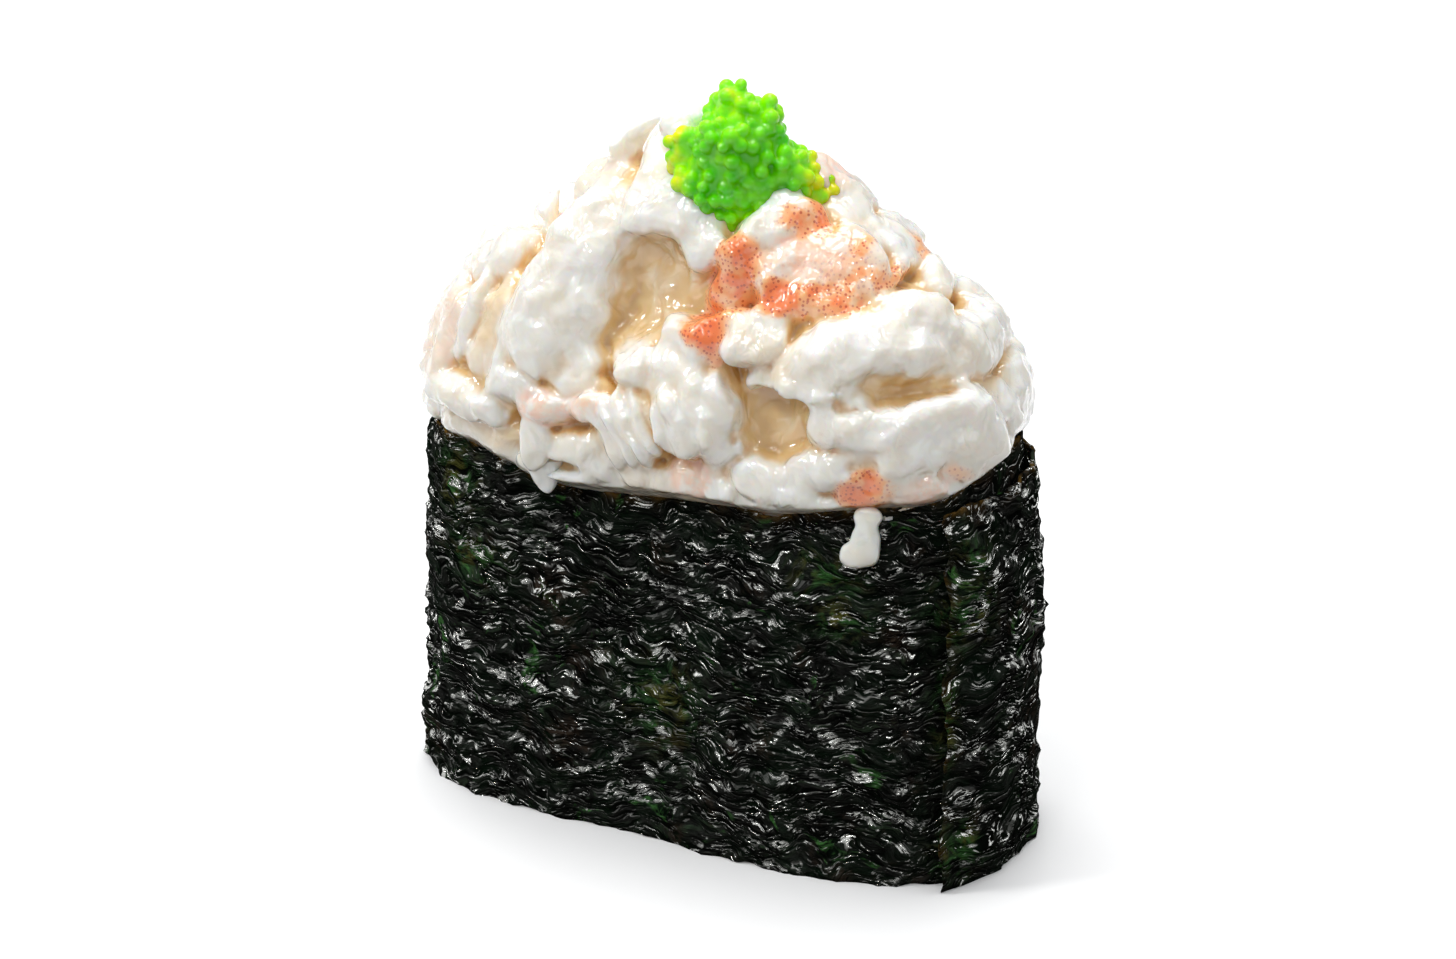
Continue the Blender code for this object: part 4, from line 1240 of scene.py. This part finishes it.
def build_rice(settings, material):
    """A block of pressed rice: grains along its flat underside, over a lumpy core."""
    thick = settings.grain_thickness / MM
    grains = grown_mesh(
        "pressed_rice",
        rice_base(thick * 0.5, 4.6),
        grain_tree(material),
        {
            "Grain Length": settings.grain_length,
            "Grain Thickness": settings.grain_thickness,
            "Spacing": settings.grain_thickness * 0.95,
            "Seed": settings.seed,
        },
    )
    bm = bmesh.new()
    bm.from_mesh(grains)
    for vertex in bm.verts:
        vertex.co.z = max(vertex.co.z, 0.05 * MM)
    first = len(bm.verts)
    bmesh.ops.create_uvsphere(bm, u_segments=96, v_segments=24, radius=1.0)
    bm.verts.ensure_lookup_table()
    core = bm.verts[first:]
    unit = np.array([v.co for v in core])
    turns = (np.arctan2(unit[:, 1], unit[:, 0]) / (2 * math.pi)) % 1.0
    reach = np.clip(np.sqrt(1 - np.clip(unit[:, 2], -1, 1) ** 2) * 1.35, 0, 1)
    height = 10.0 + 8.6 * np.clip(unit[:, 2] * 1.5, -1, 1)
    plan, _ = wall_points(turns, wall_swell(height) - 1.6)
    for vertex, (x, y), share, z in zip(core, plan, reach, height):
        vertex.co = Vector((x * share * MM, y * share * MM, z * MM))
    bm.to_mesh(grains)
    bm.free()
    grains.shade_smooth()
    return grains


def rice_material(settings):
    material, wiring, shader = new_material("pressed_rice")
    place = wiring.add("ShaderNodeTexCoord", output=3)
    cloud = wiring.noise(place, 300.0, 2.0)
    colour = wiring.mix(wiring.band(cloud, 0.35, 0.65), rgba(settings.pearl), rgba(settings.shade))
    wiring.put(shader.inputs["Base Color"], colour)
    shader.inputs["Roughness"].default_value = 0.35
    shader.inputs["Subsurface Weight"].default_value = 0.6
    shader.inputs["Subsurface Radius"].default_value = (1.0, 0.85, 0.65)
    shader.inputs["Subsurface Scale"].default_value = 0.001
    bump = wiring.add(
        "ShaderNodeBump", {"Height": wiring.noise(place, 1800.0), "Strength": 0.3, "Distance": 0.0001}
    )
    wiring.put(shader.inputs["Normal"], bump)
    return material


# ---------------------------------------------------------------- the drip


def wall_turn(bearing):
    """How many turns round the wall a bearing in degrees lies."""
    here = np.degrees(np.arctan2(OUTLINE[:, 1] / HEAP_HALF_WIDTH, OUTLINE[:, 0] / HEAP_HALF_LENGTH))
    return float(np.abs((here - bearing + 180) % 360 - 180).argmin()) / len(OUTLINE)


def drop_mesh(name, turn, blobs, seed):
    """Mayonnaise on the outer face of the band: blobs by mm aside, above the rim and outwards, and their halves."""
    plan, normal = wall_points(np.array([turn]), np.array([0.35]))
    plan, normal = plan[0], normal[0]
    outwards, up = np.array([normal[0], normal[1], 0.0]), np.array([0.0, 0.0, 1.0])
    aside = np.cross(up, outwards)
    base = np.array([plan[0], plan[1], float(rim_height(turn))])
    field = Field(base - (4.5, 4.5, 6.0), base + (4.5, 4.5, 2.5), 0.12)
    for sideways, rise, out, halves, roll, taper in blobs:
        form = {"taper": taper, "curl": 0.0, "fibres": 0.0, "blend": 0.45, "hollow": False, "square": 2.0}
        tip = math.radians(roll)
        form["centre"] = base + aside * sideways + up * rise + outwards * out
        form["axes"] = np.stack(
            [math.cos(tip) * aside + math.sin(tip) * up, math.cos(tip) * up - math.sin(tip) * aside, outwards]
        )
        form["halves"] = np.array(halves, float)
        add_form(field, form)
    index, points = field.near_surface(0.5)
    field.distance[index] += 0.04 * swells(points, 0.9, seed)
    vertices, faces = field.skin()
    mesh = make_mesh(name, vertices, faces)
    for label, value in (("pink", 0.0), ("orange", 0.0), ("ochre", 0.0), ("hollow", 0.45)):
        set_attribute(mesh, label, np.full(len(vertices), value))
    close_holes(mesh)
    return mesh


def build_drip(settings):
    """A heart-shaped drop that has run down the band from the rim on a thin thread."""
    blobs = (
        (-0.95, -3.3, 0.05, (1.05, 0.95, 0.6), 22, 0.15),
        (0.35, -3.2, 0.05, (0.95, 1.0, 0.55), -16, 0.15),
        (-0.4, -3.75, 0.0, (0.95, 0.65, 0.5), 6, 0.0),
        (0.15, -2.0, 0.0, (1.2, 1.6, 0.55), -4, 0.1),
        (0.25, -0.2, -0.35, (1.15, 0.9, 0.65), 0, 0.0),
    )
    return drop_mesh("mayonnaise_drip", (STRIP_START - 0.047) % 1.0, blobs, settings.seed + 21)


def build_overhang(settings):
    """A tongue of salad that leans out over the rim on the left."""
    blobs = (
        (0.0, 2.2, -0.7, (1.6, 1.7, 1.3), 0, 0.0),
        (0.2, 0.9, -0.05, (1.15, 1.45, 0.6), 8, -0.3),
        (-1.3, 2.0, -0.7, (1.3, 1.1, 1.0), 20, 0.0),
    )
    return drop_mesh("salad_tongue", wall_turn(-114.0), blobs, settings.seed + 22)


# ---------------------------------------------------------------- studio


def add_light(name, sides, power, azimuth, elevation, distance):
    """A soft box of so many metres by so many, placed by the direction that it shines from."""
    light = bpy.data.lights.new(name, "AREA")
    light.shape, light.size, light.size_y, light.energy = "RECTANGLE", sides[0], sides[1], power
    thing = bpy.data.objects.new(name, light)
    looks_collection().objects.link(thing)
    a, e = math.radians(azimuth), math.radians(elevation)
    direction = Vector((math.sin(a) * math.cos(e), -math.cos(a) * math.cos(e), math.sin(e)))
    thing.location = Vector((0.0, 0.0, 0.030)) + direction * distance
    thing.rotation_euler = direction.to_track_quat("Z", "Y").to_euler()


def build_stage(settings):
    scene = bpy.context.scene
    bm = bmesh.new()
    bmesh.ops.create_grid(bm, x_segments=8, y_segments=8, size=settings.floor_size / 2)
    mesh = bpy.data.meshes.new("pale_floor")
    bm.to_mesh(mesh)
    bm.free()
    floor = make_object("pale_floor", mesh)
    material, wiring, shader = new_material("pale_floor")
    shader.inputs["Base Color"].default_value = rgba(settings.floor_colour)
    shader.inputs["Roughness"].default_value = 0.9
    shader.inputs["Specular IOR Level"].default_value = 0.1
    mesh.materials.append(material)
    floor.visible_diffuse = False
    world = bpy.data.worlds.new("studio")
    world.use_nodes = True
    background = world.node_tree.nodes["Background"]
    wiring = Wiring(world.node_tree)
    around = wiring.add("ShaderNodeSeparateXYZ", {"Vector": wiring.add("ShaderNodeTexCoord", output=0)}, output=2)
    level = wiring.mix(wiring.band(around, -0.25, 0.25), (0.46, 0.42, 0.37, 1.0), (0.97, 0.985, 1.0, 1.0))
    wiring.put(background.inputs["Color"], level)
    background.inputs["Strength"].default_value = settings.ambient
    scene.world = world
    add_light("top_soft_box", (0.40, 0.40), settings.top_power, 206, 79, 0.7)
    add_light("key_soft_box", (0.11, 0.11), settings.key_power, -52, 42, 0.6)
    add_light("back_soft_box", (0.15, 0.15), settings.back_power, 200, 48, 0.6)
    add_light("front_strip", (0.26, 0.08), settings.front_power, 8, 52, 0.6)
    add_light("side_strip", (0.08, 0.30), settings.side_power, 88, 26, 0.6)
    for index, (azimuth, elevation) in enumerate(((-75, 58), (4, 36), (48, 52))):
        add_light("spark_%d" % index, (0.03, 0.03), settings.spark_power, azimuth, elevation, 0.6)
    azimuth, elevation = math.radians(settings.view_azimuth), math.radians(settings.view_elevation)
    back = Vector(
        (
            math.cos(elevation) * math.sin(azimuth),
            -math.cos(elevation) * math.cos(azimuth),
            math.sin(elevation),
        )
    )
    camera = bpy.data.cameras.new("portrait_view")
    camera.lens, camera.sensor_width = settings.lens, 36.0
    camera.clip_start, camera.clip_end = 0.01, 20.0
    thing = bpy.data.objects.new("portrait_view", camera)
    looks_collection().objects.link(thing)
    look_at = Vector((0.28, 0.26, 28.1)) * MM
    thing.location = look_at + back * settings.view_distance
    thing.rotation_euler = back.to_track_quat("Z", "Y").to_euler()
    scene.camera = thing
    scene.view_settings.view_transform = "Standard"
    scene.view_settings.look = "None"
    scene.view_settings.exposure = settings.exposure
    scene.view_settings.gamma = 1.0


# ---------------------------------------------------------------- settings


def length(name, description, default):
    return FloatProperty(name=name, description=description, default=default, min=0.0, unit="LENGTH")


def colour(name, description, default):
    return FloatVectorProperty(
        name=name, description=description, default=default, size=3, min=0.0, max=1.0, subtype="COLOR"
    )


def number(name, description, default):
    return FloatProperty(name=name, description=description, default=default)


def degrees(name, description, default):
    return FloatProperty(name=name, description=description, default=default)


class SeaweedSettings(bpy.types.PropertyGroup):
    thickness: length("Thickness", "Thickness of the moist sheet", 0.24 * MM)
    pitch: length("Pitch", "Distance between neighbouring points of the crinkled sheet", 0.37 * MM)
    seed: IntProperty(name="Seed", description="Which crinkles the sheet gets", default=40)
    black: colour("Black", "Densest seaweed", (0.0028, 0.0034, 0.0028))
    dark_green: colour("Dark green", "Usual colour against the light", (0.005, 0.011, 0.006))
    green: colour("Green", "Thinner fronds", (0.014, 0.036, 0.013))
    leaf_green: colour("Leaf green", "The thinnest fronds", (0.050, 0.190, 0.038))
    brown: colour("Brown", "Reddish patches", (0.030, 0.017, 0.009))
    amber: colour("Amber", "Light shining through the edges", (0.22, 0.12, 0.025))
    olive: colour("Olive", "Yellowish fronds", (0.130, 0.135, 0.020))
    # painted glint: the near-white metallic film on the upper slopes of the creases
    painted_glint: colour("Film", "Moisture that glints on the upper side of each crease", (0.90, 0.91, 0.87))


class SaladSettings(bpy.types.PropertyGroup):
    grain: length("Grain", "Distance between samples of the sculpted heap", 0.22 * MM)
    scatter: length("Scatter", "How far light travels inside the cream", 1.8 * MM)
    seed: IntProperty(name="Seed", description="Which lumps the hidden sides get", default=7)
    white: colour("White", "Mayonnaise and crab meat", (0.85, 0.845, 0.81))
    cream: colour("Cream", "Thicker sauce", (0.85, 0.81, 0.72))
    # painted shade: the warm tints of the hollows and creases
    painted_hollow_shade: colour("Hollow", "Light trapped between the lumps", (0.79, 0.55, 0.26))
    painted_deep_shade: colour("Deep hollow", "The deepest gaps", (0.62, 0.34, 0.10))
    pink: colour("Pink", "Bare crab meat", (0.95, 0.66, 0.53))
    peach: colour("Peach", "Skin under the sauce", (0.93, 0.49, 0.22))
    orange: colour("Orange", "Bare skin", (0.89, 0.22, 0.045))
    speck: colour("Specks", "Dots on the skin", (0.55, 0.09, 0.02))


class RoeSettings(bpy.types.PropertyGroup):
    egg: length("Egg", "Diameter of one egg", 1.28 * MM)
    seed: IntProperty(name="Seed", description="Where the eggs fall", default=3)
    # painted light and shade: deep green inside the heap, yellow green where light shines through
    painted_shade_green: colour("Deep green", "Eggs inside the heap", (0.06, 0.64, 0.001))
    bright_green: colour("Bright green", "Eggs in the light", (0.36, 0.93, 0.001))
    painted_glow_green: colour("Yellow green", "Palest eggs", (0.74, 0.82, 0.001))


class RiceSettings(bpy.types.PropertyGroup):
    grain_length: length("Grain length", "Length of a cooked grain", 6.0 * MM)
    grain_thickness: length("Grain thickness", "Thickness of a cooked grain", 2.4 * MM)
    seed: IntProperty(name="Seed", description="How the grains lie", default=5)
    pearl: colour("Pearl", "Cooked rice", (0.90, 0.89, 0.84))
    shade: colour("Shade", "Vinegared rice", (0.84, 0.81, 0.72))


class StageSettings(bpy.types.PropertyGroup):
    floor_size: length("Floor size", "Side of the floor", 6.0)
    floor_colour: colour("Floor colour", "Plain pale floor", (0.93, 0.93, 0.93))
    ambient: number("Ambient", "Strength of the surrounding light", 0.55)
    top_power: number("Top power", "Watts of the large soft box above", 3.1)
    key_power: number("Key power", "Watts of the key soft box", 1.2)
    back_power: number("Back power", "Watts of the soft box behind", 0.25)
    front_power: number("Front power", "Watts of the strip above the front", 0.42)
    side_power: number("Side power", "Watts of the strip on the right", 0.10)
    spark_power: number("Spark power", "Watts of each small light that makes glints", 0.14)
    exposure: number("Exposure", "Stops added to the picture", 0.0)
    view_azimuth: degrees("View azimuth", "Degrees from the front towards the right", 26.5)
    view_elevation: degrees("View elevation", "Degrees above the horizon", 24.0)
    view_distance: length("View distance", "From the camera to the middle of the sushi", 0.400)
    lens: number("Lens", "Focal length in mm", 120.4)


class GunkanSettings(bpy.types.PropertyGroup):
    seaweed: PointerProperty(type=SeaweedSettings, name="Seaweed", description="The band")
    salad: PointerProperty(type=SaladSettings, name="Salad", description="The heap of crab salad")
    roe: PointerProperty(type=RoeSettings, name="Roe", description="The fish roe")
    rice: PointerProperty(type=RiceSettings, name="Rice", description="The rice")
    stage: PointerProperty(type=StageSettings, name="Stage", description="Floor, lights and camera")


# ---------------------------------------------------------------- operators and panel


class GUNKAN_OT_wrap_seaweed(bpy.types.Operator):
    """Wrap the crinkled strip of seaweed round the plan"""

    bl_idname = "gunkan.wrap_seaweed"
    bl_label = "Wrap Seaweed"

    def execute(self, context):
        settings = context.scene.gunkan_sushi.seaweed
        thing = make_object("seaweed_strip", build_seaweed(settings))
        thing.data.materials.append(seaweed_material(settings))
        finish_piece(thing, "seaweed", "seaweed_band")
        return {"FINISHED"}


class GUNKAN_OT_press_rice(bpy.types.Operator):
    """Press the block of rice into the band"""

    bl_idname = "gunkan.press_rice"
    bl_label = "Press Rice"

    def execute(self, context):
        settings = context.scene.gunkan_sushi.rice
        material = rice_material(settings)
        thing = make_object("pressed_rice", build_rice(settings, material))
        finish_piece(thing, "rice", "rice")
        return {"FINISHED"}


class GUNKAN_OT_heap_salad(bpy.types.Operator):
    """Heap the crab salad on the rice"""

    bl_idname = "gunkan.heap_salad"
    bl_label = "Heap Salad"

    def execute(self, context):
        settings = context.scene.gunkan_sushi.salad
        thing = make_object("crab_salad_heap", build_salad(settings))
        thing.data.materials.append(salad_material(settings))
        nodes = [name for name in sorted(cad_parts) if name.startswith("crab_")]
        finish_piece(thing, "salad", *nodes)
        return {"FINISHED"}


class GUNKAN_OT_drip_mayonnaise(bpy.types.Operator):
    """Let a drop of mayonnaise and a tongue of salad run over the rim"""

    bl_idname = "gunkan.drip_mayonnaise"
    bl_label = "Drip Mayonnaise"

    def execute(self, context):
        settings = context.scene.gunkan_sushi.salad
        for mesh in (build_drip(settings), build_overhang(settings)):
            thing = make_object(mesh.name, mesh)
            mesh.materials.append(bpy.data.materials["creamy_crab_salad"])
            finish_piece(thing, "salad")
        return {"FINISHED"}


class GUNKAN_OT_pile_roe(bpy.types.Operator):
    """Pile the eggs on the top of the heap"""

    bl_idname = "gunkan.pile_roe"
    bl_label = "Pile Roe"

    def execute(self, context):
        settings = context.scene.gunkan_sushi.roe
        material = roe_material(settings)
        thing = make_object("fish_roe", build_roe(settings, material))
        finish_piece(thing, "roe", "flying_fish_roe")
        return {"FINISHED"}


class GUNKAN_OT_set_stage(bpy.types.Operator):
    """Set the pale floor, the soft lights and the camera"""

    bl_idname = "gunkan.set_stage"
    bl_label = "Set Stage"

    def execute(self, context):
        build_stage(context.scene.gunkan_sushi.stage)
        return {"FINISHED"}


class GUNKAN_PT_sushi(bpy.types.Panel):
    """Lists the steps of dressing the sushi"""

    bl_idname = "GUNKAN_PT_sushi"
    bl_label = "Gunkan Sushi"
    bl_space_type = "VIEW_3D"
    bl_region_type = "UI"
    bl_category = "Gunkan Sushi"

    def draw(self, context):
        column = self.layout.column(align=True)
        for step in STEPS:
            column.operator(step.bl_idname)


STEPS = (
    GUNKAN_OT_wrap_seaweed,
    GUNKAN_OT_press_rice,
    GUNKAN_OT_heap_salad,
    GUNKAN_OT_drip_mayonnaise,
    GUNKAN_OT_pile_roe,
    GUNKAN_OT_set_stage,
)
CLASSES = (
    SeaweedSettings,
    SaladSettings,
    RoeSettings,
    RiceSettings,
    StageSettings,
    GunkanSettings,
    *STEPS,
    GUNKAN_PT_sushi,
)


def register():
    for kind in CLASSES:
        bpy.utils.register_class(kind)
    bpy.types.Scene.gunkan_sushi = PointerProperty(type=GunkanSettings)


def unregister():
    del bpy.types.Scene.gunkan_sushi
    for kind in reversed(CLASSES):
        bpy.utils.unregister_class(kind)


def main():
    register()
    bpy.ops.gunkan.wrap_seaweed()
    bpy.ops.gunkan.press_rice()
    bpy.ops.gunkan.heap_salad()
    bpy.ops.gunkan.drip_mayonnaise()
    bpy.ops.gunkan.pile_roe()
    bpy.ops.gunkan.set_stage()
    bpy.context.view_layer.update()


if __name__ == "__main__":
    main()
